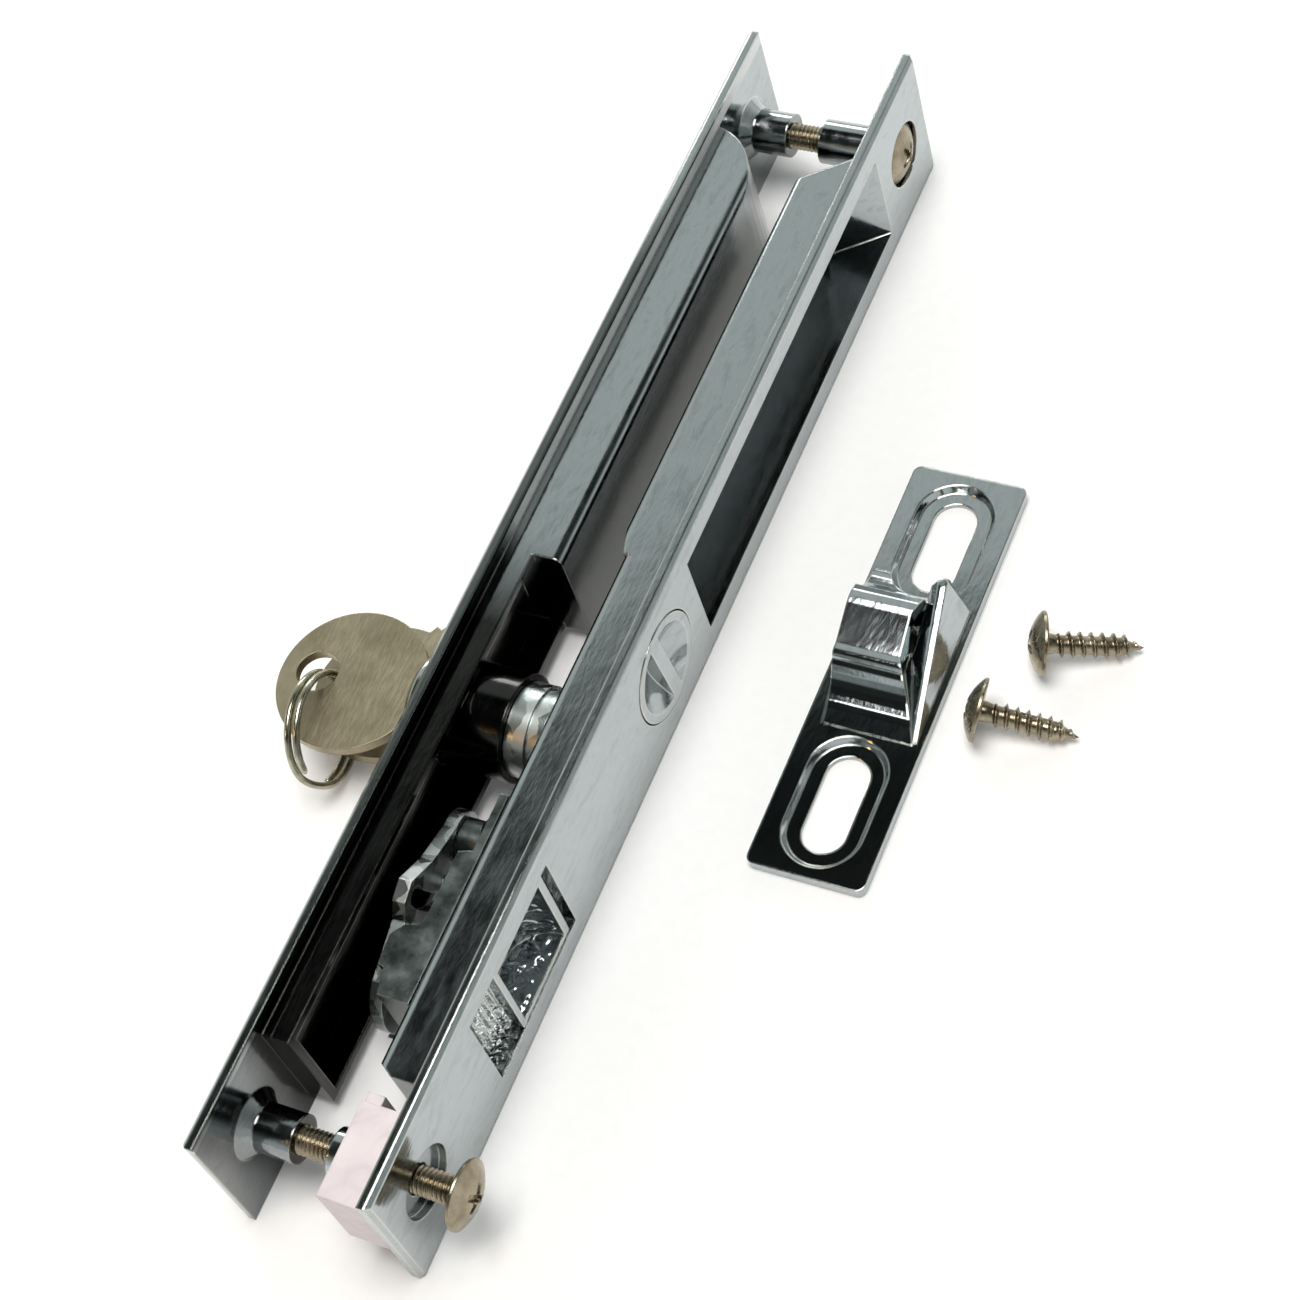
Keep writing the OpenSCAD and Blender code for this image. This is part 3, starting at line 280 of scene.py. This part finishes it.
rough = add_node(t, "ShaderNodeMapRange", {"Value": grain.outputs["Green"], "To Min": 0.2,
                                           "To Max": 0.42})
relief = add_node(t, "ShaderNodeBump", {"Height": spangle.outputs["Distance"], "Strength": 0.5,
                                        "Distance": 0.00008, "Normal": soft_edge.outputs["Normal"]})
shader = add_node(t, "ShaderNodeBsdfPrincipled",
                  {"Base Color": tint, "Roughness": rough.outputs["Result"],
                   "Normal": relief.outputs["Normal"], "Metallic": 1.0})
t.links.new(shader.outputs["BSDF"], zinc_out.inputs["Surface"])
dress("crank_drum", zinc_steel)

# Blackened steel, phosphated and oiled: charcoal with a dull shine and rubbed bright edges.
dark_steel, dark_out = new_material("phosphated steel")
t = dark_steel.node_tree
place = add_node(t, "ShaderNodeTexCoord").outputs["Object"]
cloud = add_node(t, "ShaderNodeTexNoise", {"Vector": place, "Scale": per_metre(4.545),
                                           "Detail": 5.0, "Roughness": 0.6})
crystal = add_node(t, "ShaderNodeTexNoise", {"Vector": place, "Scale": per_metre(0.4545),
                                             "Detail": 2.0})
soft_edge = add_node(t, "ShaderNodeBevel", {"Radius": 0.0004}, samples=4)
sharp = add_node(t, "ShaderNodeNewGeometry")
facing = add_node(t, "ShaderNodeVectorMath",
                  {0: soft_edge.outputs["Normal"], 1: sharp.outputs["Normal"]},
                  operation="DOT_PRODUCT")
edge = add_node(t, "ShaderNodeMapRange", {"Value": facing.outputs["Value"], "From Min": 0.99,
                                          "From Max": 0.9, "To Min": 0.0, "To Max": 0.8})
tint = add_node(t, "ShaderNodeValToRGB", {"Fac": cloud.outputs["Fac"]},
                [(0.3, "#3E4543"), (0.55, "#59605E"), (0.75, "#737A78")]).outputs["Color"]
edge_tinted = add_node(t, "ShaderNodeMix", {"Factor": edge.outputs["Result"], "A": tint,
                                     "B": linear("#9BA09E")}, data_type="RGBA")
rough = add_node(t, "ShaderNodeMapRange", {"Value": cloud.outputs["Fac"], "From Min": 0.3,
                                           "From Max": 0.7, "To Min": 0.24, "To Max": 0.42})
grit = add_node(t, "ShaderNodeBump", {"Height": crystal.outputs["Fac"], "Strength": 0.7,
                                      "Distance": 0.00003, "Normal": soft_edge.outputs["Normal"]})
shader = add_node(t, "ShaderNodeBsdfPrincipled",
                  {"Base Color": edge_tinted.outputs["Result"], "Roughness": rough.outputs["Result"],
                   "Normal": grit.outputs["Normal"], "Metallic": 1.0})
t.links.new(shader.outputs["BSDF"], dark_out.inputs["Surface"])
dress("drum_screw", dark_steel)

# Inside plate: a casting like the outside one, with the finger recess, the window of the
# thumb slide, the thumb-turn's seat and a hollow boss for each clamp screw.
cast_chrome = chrome("bright chrome on polished die casting", recess_shade_share=0.6)
dress("inside_plate", cast_chrome)

# Spacer block: moulded white nylon, pushed over the lower screw boss behind the flange. It
# keeps the plate square where the door's slot is wide, and its faces show faint flow marks.
white_nylon, nylon_out = new_material("moulded white nylon")
t = white_nylon.node_tree
place = add_node(t, "ShaderNodeTexCoord").outputs["Object"]
flow = add_node(t, "ShaderNodeTexNoise", {"Vector": place, "Scale": per_metre(5.556), "Detail": 3.0,
                                          "Distortion": 1.2})
grain = add_node(t, "ShaderNodeTexNoise", {"Vector": place, "Scale": per_metre(0.5556), "Detail": 2.0})
soft_edge = add_node(t, "ShaderNodeBevel", {"Radius": 0.0005}, samples=4)
tint = add_node(t, "ShaderNodeValToRGB", {"Fac": flow.outputs["Fac"]},
                [(0.3, "#CEC2C7"), (0.55, "#D9CFD3"), (0.75, "#DED6D8")]).outputs["Color"]
rough = add_node(t, "ShaderNodeMapRange", {"Value": flow.outputs["Fac"], "From Min": 0.3,
                                           "From Max": 0.7, "To Min": 0.42, "To Max": 0.56})
texture = add_node(t, "ShaderNodeBump", {"Height": grain.outputs["Fac"], "Strength": 0.4,
                                         "Distance": 0.00002, "Normal": soft_edge.outputs["Normal"]})
shader = add_node(t, "ShaderNodeBsdfPrincipled",
                  {"Base Color": tint, "Roughness": rough.outputs["Result"],
                   "Normal": texture.outputs["Normal"], "IOR": 1.53, "Subsurface Weight": 0.15,
                   "Subsurface Radius": (0.0012, 0.0011, 0.001), "Subsurface Scale": 1.0})
t.links.new(shader.outputs["BSDF"], nylon_out.inputs["Surface"])
dress("spacer_block", white_nylon)

# Latch: a pressed dark steel case screwed behind the inside plate's bay, and a galvanised
# hook that turns on a shouldered rivet in front of it.
dress("latch_case", dark_steel)
dress("case_screws", dark_steel)
dress("hook_pivot", zinc_steel)
dress("latch_hook", zinc_steel)

# Thumb slide: a chromed casting in the window, its skirt behind the flange. A galvanised
# bar riveted to it carries the drive pin, which swings the hook. The finger pocket is left
# as cast under its chrome, so it breaks what it mirrors into sparks.
rough_chrome = chrome("bright chrome on unpolished die casting", recess_shade_share=0.1,
                      skin_height=0.00006, dent_height=0.0015)
dress("thumb_slide", rough_chrome)
dress("slide_bar", zinc_steel)
dress("drive_pin", zinc_steel)

# Thumb-turn: a chromed disc with a bar to grip between two scoops. Its cam, behind the
# seat, blocks the slide bar, and a spring clip holds both on the shaft.
dress("thumb_turn", small_chrome)
dress("thumb_turn_cam", zinc_steel)
dress("thumb_turn_clip", dark_steel)

# Clamp screws: M5 machine screws 31 mm long with domed heads and cross recesses, rolled
# from steel and nickel plated. The lower one is backed out as in the photo.


def smooth(x):
    """Soft step: x held to 0..1, then x squared times (3 - 2x)."""
    x = np.clip(x, 0.0, 1.0)
    return x * x * (3.0 - 2.0 * x)


def cross_recess(x, y, span, wide, deep):
    """Depth of a cross recess at (x, y): each wing is deep at the middle, falls away to its
    end at span/2, and has sloping sides; the deeper of the two wings counts."""
    out = np.zeros_like(x)
    for u, v in ((x, y), (y, x)):
        run = np.abs(u) / (span / 2)
        half = wide / 2 * (1.15 - 0.35 * run)
        side = smooth((half - np.abs(v)) / (0.3 * half))
        end = smooth((1.0 - run) / 0.16)
        out = np.maximum(out, deep * (1.0 - 0.45 * run) * side * end)
    return out


def turned_grid(radii, heights, columns, origin, axis):
    """Surface of turning: point (i, j) lies at heights[i, j] along axis and radii[i, j] from
    it, at the angle 2 pi j / columns. Rows run from the head's middle to the point."""
    axis = np.array(axis, float) / np.linalg.norm(axis)
    side = np.cross(axis, [0.0, 0.0, 1.0])
    side = side / np.linalg.norm(side)
    other = np.cross(axis, side)
    angle = np.linspace(0.0, 2.0 * np.pi, columns, endpoint=False)[None, :, None]
    ring = np.cos(angle) * side + np.sin(angle) * other
    return np.array(origin) + heights[..., None] * axis + radii[..., None] * ring


def closed_tube(name, points, material):
    """Mesh of a grid whose columns close on themselves and whose first and last rows are
    closed by a fan to their mean point. A negative volume, the sum of a . (b x c) over its
    triangles, means that the faces point inwards, and they are turned round."""
    rows, columns = points.shape[:2]
    verts = np.vstack([points.reshape(-1, 3), points[0].mean(0), points[-1].mean(0)]) / 1000.0
    i, j = np.meshgrid(np.arange(rows - 1), np.arange(columns), indexing="ij")
    k = (j + 1) % columns
    quads = np.stack([i * columns + j, i * columns + k, (i + 1) * columns + k,
                      (i + 1) * columns + j], -1).reshape(-1, 4)
    j = np.arange(columns)
    k = (j + 1) % columns
    first, last = rows * columns, rows * columns + 1
    caps = np.vstack([np.stack([np.full(columns, first), k, j], -1),
                      np.stack([np.full(columns, last), (rows - 1) * columns + j,
                                (rows - 1) * columns + k], -1)])
    triangles = np.vstack([caps, quads[:, :3], quads[:, [0, 2, 3]]])
    a, b, c = (verts[triangles[:, n]] for n in range(3))
    volume = np.einsum("ij,ij->i", a, np.cross(b, c)).sum()
    if volume < 0:
        quads, caps = quads[:, ::-1], caps[:, ::-1]
    mesh = bpy.data.meshes.new(name)
    mesh.from_pydata(verts.tolist(), [], quads.tolist() + caps.tolist())
    mesh.polygons.foreach_set("use_smooth", np.ones(len(mesh.polygons), bool))
    mesh.update()
    piece = bpy.data.objects.new(name, mesh)
    bpy.context.scene.collection.objects.link(piece)
    mesh.materials.append(material)
    return piece


def screw_head(head_d, head_h, recess_w, columns):
    """Rows of radii and heights over a domed head with its seat at height 0 and the crown at
    -head_h: a ball cap lowered by the cross recess, a rolled rim, and the flat seat."""
    r = head_d / 2
    cap = 0.8 * head_h
    ball = (r * r + cap * cap) / (2 * cap)
    recess_rows, cap_rows, rim_rows = 34, 22, 6
    rho = np.concatenate([np.linspace(0.02, recess_w / 2 + 0.2, recess_rows),
                          np.linspace(recess_w / 2 + 0.3, r - 0.05, cap_rows)])[:, None]
    angle = np.linspace(0.0, 2.0 * np.pi, columns, endpoint=False)[None, :] + 0.4
    x, y = rho * np.cos(angle), rho * np.sin(angle)
    crown = -(head_h - (ball - np.sqrt(ball ** 2 - rho ** 2)))
    wing_w, recess_deep = 0.26 * recess_w, 0.62 * head_h
    height = crown + cross_recess(x, y, recess_w, wing_w, recess_deep)
    turn = np.linspace(0.15, 1.0, rim_rows)[:, None] * np.pi
    lip = 0.5 * (head_h - cap)
    edge_r = r - lip * (1 - np.sin(turn)) * 0.6
    edge_h = -lip - lip * np.cos(turn)
    rim_shape = (rim_rows, columns)
    radii = np.vstack([np.broadcast_to(rho, x.shape), np.broadcast_to(edge_r, rim_shape)])
    return radii, np.vstack([height, np.broadcast_to(edge_h, rim_shape)])


def machine_thread(major, length, pitch, deep, columns):
    """Rows down a threaded shank: radius is major/2 less deep times a soft saw of
    height/pitch - angle/2pi, drawn in over the last millimetre for the point."""
    rows_a_turn, point_l, point_r = 9, 0.9, 0.5
    h = np.arange(0.0, length + 1e-6, pitch / rows_a_turn)[:, None]
    angle = np.linspace(0.0, 1.0, columns, endpoint=False)[None, :]
    phase = np.mod(h / pitch - angle, 1.0)
    groove = 1.0 - np.clip(np.abs(phase - 0.5) * 2.6 - 0.15, 0.0, 1.0)
    taper = np.clip((length - h) / point_l, 0.0, 1.0)
    neck_l, run_in = 0.2, 0.6
    start = np.clip((h - neck_l) / run_in, 0.0, 1.0)
    drawn_in = (1 - taper) * (major / 2 - deep - point_r) * 0.8
    radius = major / 2 - deep * groove * start - drawn_in
    return np.maximum(radius, 0.3), np.broadcast_to(h, radius.shape)


# Nickel on rolled steel: warm, a little brown, satin from the barrel, bright on the crests.
warm_nickel, nickel_out = new_material("nickel plated rolled steel")
t = warm_nickel.node_tree
place = add_node(t, "ShaderNodeTexCoord").outputs["Object"]
cloud = add_node(t, "ShaderNodeTexNoise", {"Vector": place, "Scale": per_metre(3.333), "Detail": 4.0})
pits = add_node(t, "ShaderNodeTexNoise", {"Vector": place, "Scale": per_metre(0.6667), "Detail": 3.0})
tint = add_node(t, "ShaderNodeValToRGB", {"Fac": cloud.outputs["Fac"]},
                [(0.3, "#7C7260"), (0.5, "#948A76"), (0.7, "#A89E8A")]).outputs["Color"]
rough = add_node(t, "ShaderNodeMapRange", {"Value": pits.outputs["Fac"], "From Min": 0.3,
                                           "From Max": 0.7, "To Min": 0.2, "To Max": 0.36})
dimple = add_node(t, "ShaderNodeBump", {"Height": pits.outputs["Fac"], "Strength": 0.5,
                                        "Distance": 0.00002})
shader = add_node(t, "ShaderNodeBsdfPrincipled",
                  {"Base Color": tint, "Roughness": rough.outputs["Result"],
                   "Normal": dimple.outputs["Normal"], "Metallic": 1.0})
t.links.new(shader.outputs["BSDF"], nickel_out.inputs["Surface"])

clamp_columns = 96
clamp_l = 31.0
head_r, head_z = screw_head(head_d=12.0, head_h=2.5, recess_w=5.2, columns=clamp_columns)
shank_r, shank_z = machine_thread(major=5.0, length=clamp_l, pitch=0.8, deep=0.42,
                                  columns=clamp_columns)
to_outside_plate = (-1.0, 0.0, 0.0)
# The frame gives each screw's tip and middle line. The head stands clear of its seat by a
# hair, so that no two faces meet.
clear = 0.02
for node_name, body in (("clamp_screw_top", "top_screw"), ("clamp_screw_bottom", "bottom_screw")):
    low, high = box_of(node_name)
    seat_x = low[0] + clamp_l + clear
    grid = turned_grid(np.vstack([head_r, shank_r]), np.vstack([head_z, shank_z]),
                       clamp_columns, (seat_x, *(low + high)[1:] / 2), to_outside_plate)
    piece = closed_tube(node_name + "_threaded", grid, warm_nickel)
    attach(piece, body)
    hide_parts(node_name)

# Keys: two flat blanks stamped from nickel silver with round bows, cut on both edges. One
# is in the cylinder; the spare hangs from the same split ring.
dress("key", key_metal)
dress("spare_key", key_metal)

# Split ring: 1.3 mm spring wire wound in two turns that lie side by side with a jog where
# the wire crosses over, hardened and nickel plated.
ring_steel, ring_out = new_material("nickel plated spring wire")
t = ring_steel.node_tree
place = add_node(t, "ShaderNodeTexCoord").outputs["Object"]
cloud = add_node(t, "ShaderNodeTexNoise", {"Vector": place, "Scale": per_metre(2.5), "Detail": 4.0})
tint = add_node(t, "ShaderNodeValToRGB", {"Fac": cloud.outputs["Fac"]},
                [(0.3, "#8E8A78"), (0.5, "#A8A592"), (0.7, "#BDBAA9")]).outputs["Color"]
rough = add_node(t, "ShaderNodeMapRange", {"Value": cloud.outputs["Fac"], "From Min": 0.3,
                                           "From Max": 0.7, "To Min": 0.16, "To Max": 0.3})
drawn = add_node(t, "ShaderNodeBump", {"Height": cloud.outputs["Fac"], "Strength": 0.4,
                                       "Distance": 0.00003})
shader = add_node(t, "ShaderNodeBsdfPrincipled",
                  {"Base Color": tint, "Roughness": rough.outputs["Result"],
                   "Normal": drawn.outputs["Normal"], "Metallic": 1.0})
t.links.new(shader.outputs["BSDF"], ring_out.inputs["Surface"])


def wire_tube(path, radius, sides):
    """Round wire along a path: each row is a circle in the plane across the path, set out
    from a fixed axis and the path's own direction, and drawn in at both cut ends."""
    ahead = np.gradient(path, axis=0)
    ahead = ahead / np.linalg.norm(ahead, axis=1)[:, None]
    axis = np.array([1.0, 0.0, 0.0])
    out = np.cross(ahead, axis)
    out = out / np.linalg.norm(out, axis=1)[:, None]
    up = np.cross(out, ahead)
    angle = np.linspace(0.0, 2.0 * np.pi, sides, endpoint=False)[None, :, None]
    steps = np.arange(len(path))
    ends = np.minimum(steps, steps[::-1])
    size = radius * np.sqrt(np.clip(ends / 2.0 + 0.35, 0.0, 1.0))[:, None, None]
    circle = np.cos(angle) * out[:, None, :] + np.sin(angle) * up[:, None, :]
    return path[:, None, :] + size * circle


# The wire's middle line: one angle, in degrees, runs on through both turns, and X steps
# over from one turn to the next by a soft step in the jog.
ring_r = 10.0
turn_apart = 1.75
wire_r = 0.65
wire_sides = 20
ring_lean = math.radians(8)
jog_start, jog_l = 335.0, 50.0
along_wire = np.linspace(30.0, 690.0, 265)
jog = smooth((along_wire - jog_start) / jog_l)
wire_angle = np.radians(along_wire + 200.0)
ring_path = np.stack([turn_apart * (jog - 0.5), ring_r * np.cos(wire_angle),
                      ring_r * np.sin(wire_angle)], 1)
ring_grid = wire_tube(ring_path, wire_r, wire_sides)
lean = Matrix.Rotation(ring_lean, 3, "Z") @ Matrix.Rotation(-ring_lean, 3, "Y")
low, high = box_of("key_ring")
ring_grid = ring_grid @ np.array(lean).T + (low + high) / 2
ring = closed_tube("key_ring_wire", ring_grid, ring_steel)
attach(ring, "ring")
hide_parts("key_ring")

# Keeper: a chromed die casting with two countersunk slots and a hooked nose, guarded by a
# fin on one side. It lies on its back beside the lock. Buffing by hand left its flat face
# a little crowned, so it mirrors the bright wall at one end and the dim ceiling at the other.
low, high = box_of("keeper")
buffed_chrome = chrome("bright chrome on buffed die casting", recess_shade_share=0.25, crown=0.5,
                       crown_y=(low[1] + high[1]) / 2000.0, dullest=0.1)
dress("keeper", buffed_chrome)

# Keeper screws: two pan-head wood screws, rolled thread of 1.9 mm pitch to a sharp point.
# They lie on the table on the head's rim and on the shank where the point begins.


def wood_thread(major, core, length, pitch, columns):
    """Rows down a wood screw: a plain neck, then a narrow sharp ridge that winds round a
    core, both drawn in to the point over the last 5 mm."""
    rows_a_turn, tip_l = 14, 5.0
    h = np.arange(0.0, length - 0.5, pitch / rows_a_turn)
    h = np.concatenate([h, [length - 0.3, length - 0.1]])[:, None]
    angle = np.linspace(0.0, 1.0, columns, endpoint=False)[None, :]
    phase = np.mod(h / pitch - angle, 1.0)
    ridge = np.clip(1.0 - np.abs(phase - 0.5) / 0.24, 0.0, 1.0) ** 1.2
    tip = np.clip((length - h) / tip_l, 0.0, 1.0)
    body = core / 2 * np.clip(tip * 1.25, 0.03, 1.0)
    crest = (major - core) / 2 * np.clip(tip * 1.6, 0.0, 1.0) * smooth((h - 1.6) / 1.2)
    neck = 0.25 * (1 - smooth((h - 0.4) / 1.8))
    return body + neck + crest * ridge, np.broadcast_to(h, ridge.shape)


wood_columns = 64
wood_head_d, wood_head_h = 11.4, 2.8
wood_d = 4.8
wood_l = 17.0
point_l = 3.4
head_r, head_z = screw_head(wood_head_d, wood_head_h, recess_w=5.2, columns=wood_columns)
shank_r, shank_z = wood_thread(wood_d, core=3.2, length=wood_l, pitch=1.9, columns=wood_columns)
tilt = math.atan((wood_head_d - wood_d) / 2 / (wood_l - point_l))
lift = wood_head_d / 2 * math.cos(tilt) + clear
# Where each head's seat lies in X and Y, as in part.scad, and the way that its shank points,
# in degrees.
lying = (((54.98, 16.8), 21.0), ((49.0, 1.4), 5.5))
for n, (seat, degrees) in enumerate(lying):
    turn = math.radians(degrees)
    axis = (math.cos(tilt) * math.cos(turn), math.cos(tilt) * math.sin(turn), -math.sin(tilt))
    grid = turned_grid(np.vstack([head_r, shank_r]), np.vstack([head_z, shank_z]),
                       wood_columns, (*seat, lift), axis)
    piece = closed_tube(f"keeper_screw_{n + 1}", grid, warm_nickel)
    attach(piece, "keeper_fixings")
    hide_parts("keeper_screws")

# Table: a wide sheet of white paper under the object. Rays from the camera and from metal
# get a little light added, and more where the lamps don't reach, so it reads as white there,
# while it keeps the soft shadow.
paper, paper_out = new_material("white paper table")
t = paper.node_tree
place = add_node(t, "ShaderNodeTexCoord").outputs["Object"]
fibre = add_node(t, "ShaderNodeTexNoise", {"Vector": place, "Scale": per_metre(2.5), "Detail": 2.0})
tint = add_node(t, "ShaderNodeValToRGB", {"Fac": fibre.outputs["Fac"]},
                [(0.3, "#EEEEEE"), (0.7, "#F1F1F1")]).outputs["Color"]
matt = add_node(t, "ShaderNodeBsdfDiffuse", {"Color": tint})
ray = add_node(t, "ShaderNodeLightPath")
seen = add_node(t, "ShaderNodeMath",
                {0: ray.outputs["Is Camera Ray"], 1: ray.outputs["Is Glossy Ray"]},
                operation="MAXIMUM")
seen = add_node(t, "ShaderNodeMath",
                {0: seen.outputs["Value"], 1: ray.outputs["Is Transmission Ray"]},
                operation="MAXIMUM")
away = add_node(t, "ShaderNodeVectorMath", {0: place}, operation="LENGTH")
share = add_node(t, "ShaderNodeMapRange", {"Value": away.outputs["Value"], "From Min": 0.5,
                                           "From Max": 1.6, "To Min": 0.08, "To Max": 0.65})
glow = add_node(t, "ShaderNodeMath", {0: seen.outputs["Value"], 1: share.outputs["Result"]},
                operation="MULTIPLY")
light = add_node(t, "ShaderNodeEmission", {"Strength": glow.outputs["Value"]})
both = add_node(t, "ShaderNodeAddShader", {0: matt.outputs["BSDF"], 1: light.outputs["Emission"]})
t.links.new(both.outputs["Shader"], paper_out.inputs["Surface"])
half = 3.0
corners = [(-half, -half, 0), (half, -half, 0), (half, half, 0), (-half, half, 0)]
table_mesh = bpy.data.meshes.new("table")
table_mesh.from_pydata(corners, [], [(0, 1, 2, 3)])
table = bpy.data.objects.new("table", table_mesh)
bpy.context.scene.collection.objects.link(table)
table_mesh.materials.append(paper)

# Room: a pale band round the horizon, a dim ceiling, and on one side a wide bright wall that
# the tops of the plates mirror at their far end only. Chrome needs that contrast to show
# its form. Colour by direction only.
world = bpy.data.worlds.new("studio room")
bpy.context.scene.world = world
world.use_nodes = True
t = world.node_tree
t.nodes.clear()
way = add_node(t, "ShaderNodeTexCoord").outputs["Generated"]
part = add_node(t, "ShaderNodeSeparateXYZ", {"Vector": way})
band = add_node(t, "ShaderNodeValToRGB", {"Fac": part.outputs["Z"]},
                [(0.0, "#E9ECEB"), (0.25, "#DDE2E0"), (0.5, "#8D9492"),
                 (0.68, "#2E3533"), (0.95, "#0C0F0E")]).outputs["Color"]
wall = add_node(t, "ShaderNodeValToRGB", {"Fac": part.outputs["Z"]},
                [(0.0, "#CDD4D1"), (0.795, "#CDD4D1"), (0.815, "#A8AFAC"),
                 (0.832, "#3E4442"), (0.87, "#101413")]).outputs["Color"]
wall_azimuth = math.radians(130.0)
wall_way = (math.cos(wall_azimuth), math.sin(wall_azimuth), 0.0)
toward = add_node(t, "ShaderNodeVectorMath", {0: way, 1: wall_way}, operation="DOT_PRODUCT")
side = add_node(t, "ShaderNodeMapRange", {"Value": toward.outputs["Value"], "From Min": 0.28,
                                          "From Max": 0.42})
both = add_node(t, "ShaderNodeMix", {"Factor": side.outputs["Result"], "A": band, "B": wall},
                data_type="RGBA")
back = add_node(t, "ShaderNodeBackground", {"Color": both.outputs["Result"], "Strength": 1.0})
add_node(t, "ShaderNodeOutputWorld", {"Surface": back.outputs["Background"]})


def soft_box(name, azimuth, elevation, distance, width, height, power, colour):
    """A rectangular lamp at a direction from the object, aimed at the object's middle."""
    a, e = math.radians(azimuth), math.radians(elevation)
    at = Vector((math.cos(e) * math.cos(a), math.cos(e) * math.sin(a), math.sin(e))) * distance
    data = bpy.data.lights.new(name, "AREA")
    data.shape = "RECTANGLE"
    data.size, data.size_y, data.energy = width, height, power
    data.color = linear(colour)[:3]
    lamp = bpy.data.objects.new(name, data)
    lamp.matrix_world = Matrix.Translation(at) @ at.to_track_quat("Z", "Y").to_matrix().to_4x4()
    bpy.context.scene.collection.objects.link(lamp)


soft_box("window light", azimuth=120, elevation=22, distance=1.4, width=1.0, height=0.25,
         power=5.0, colour="#FFFFFF")
soft_box("ceiling light", azimuth=-60, elevation=86, distance=1.5, width=0.8, height=0.8,
         power=21.0, colour="#FFFDFA")
soft_box("warm bulb", azimuth=-130, elevation=32, distance=1.2, width=0.14, height=0.14,
         power=1.2, colour="#FFBE78")

# Camera: about half a metre from the lock, above its lower right corner, as the photo was
# taken. Fitted to 30 points of the plates, screws and keeper.
right = Vector((0.89646, 0.38495, -0.21946))
down = Vector((0.22369, -0.82067, -0.52581))
ahead = Vector((-0.38251, 0.42228, -0.82181))
camera_place = Vector((0.177049, -0.210839, 0.410735))
camera_turn = Matrix((right, -down, -ahead)).transposed().to_4x4()
camera_data = bpy.data.cameras.new("camera")
camera_data.sensor_width = 36.0
camera_data.lens = 77.457
camera_data.clip_start = 0.01
camera = bpy.data.objects.new("camera", camera_data)
camera.matrix_world = Matrix.Translation(camera_place) @ camera_turn
bpy.context.scene.collection.objects.link(camera)
bpy.context.scene.camera = camera
bpy.context.scene.view_settings.view_transform = "Standard"
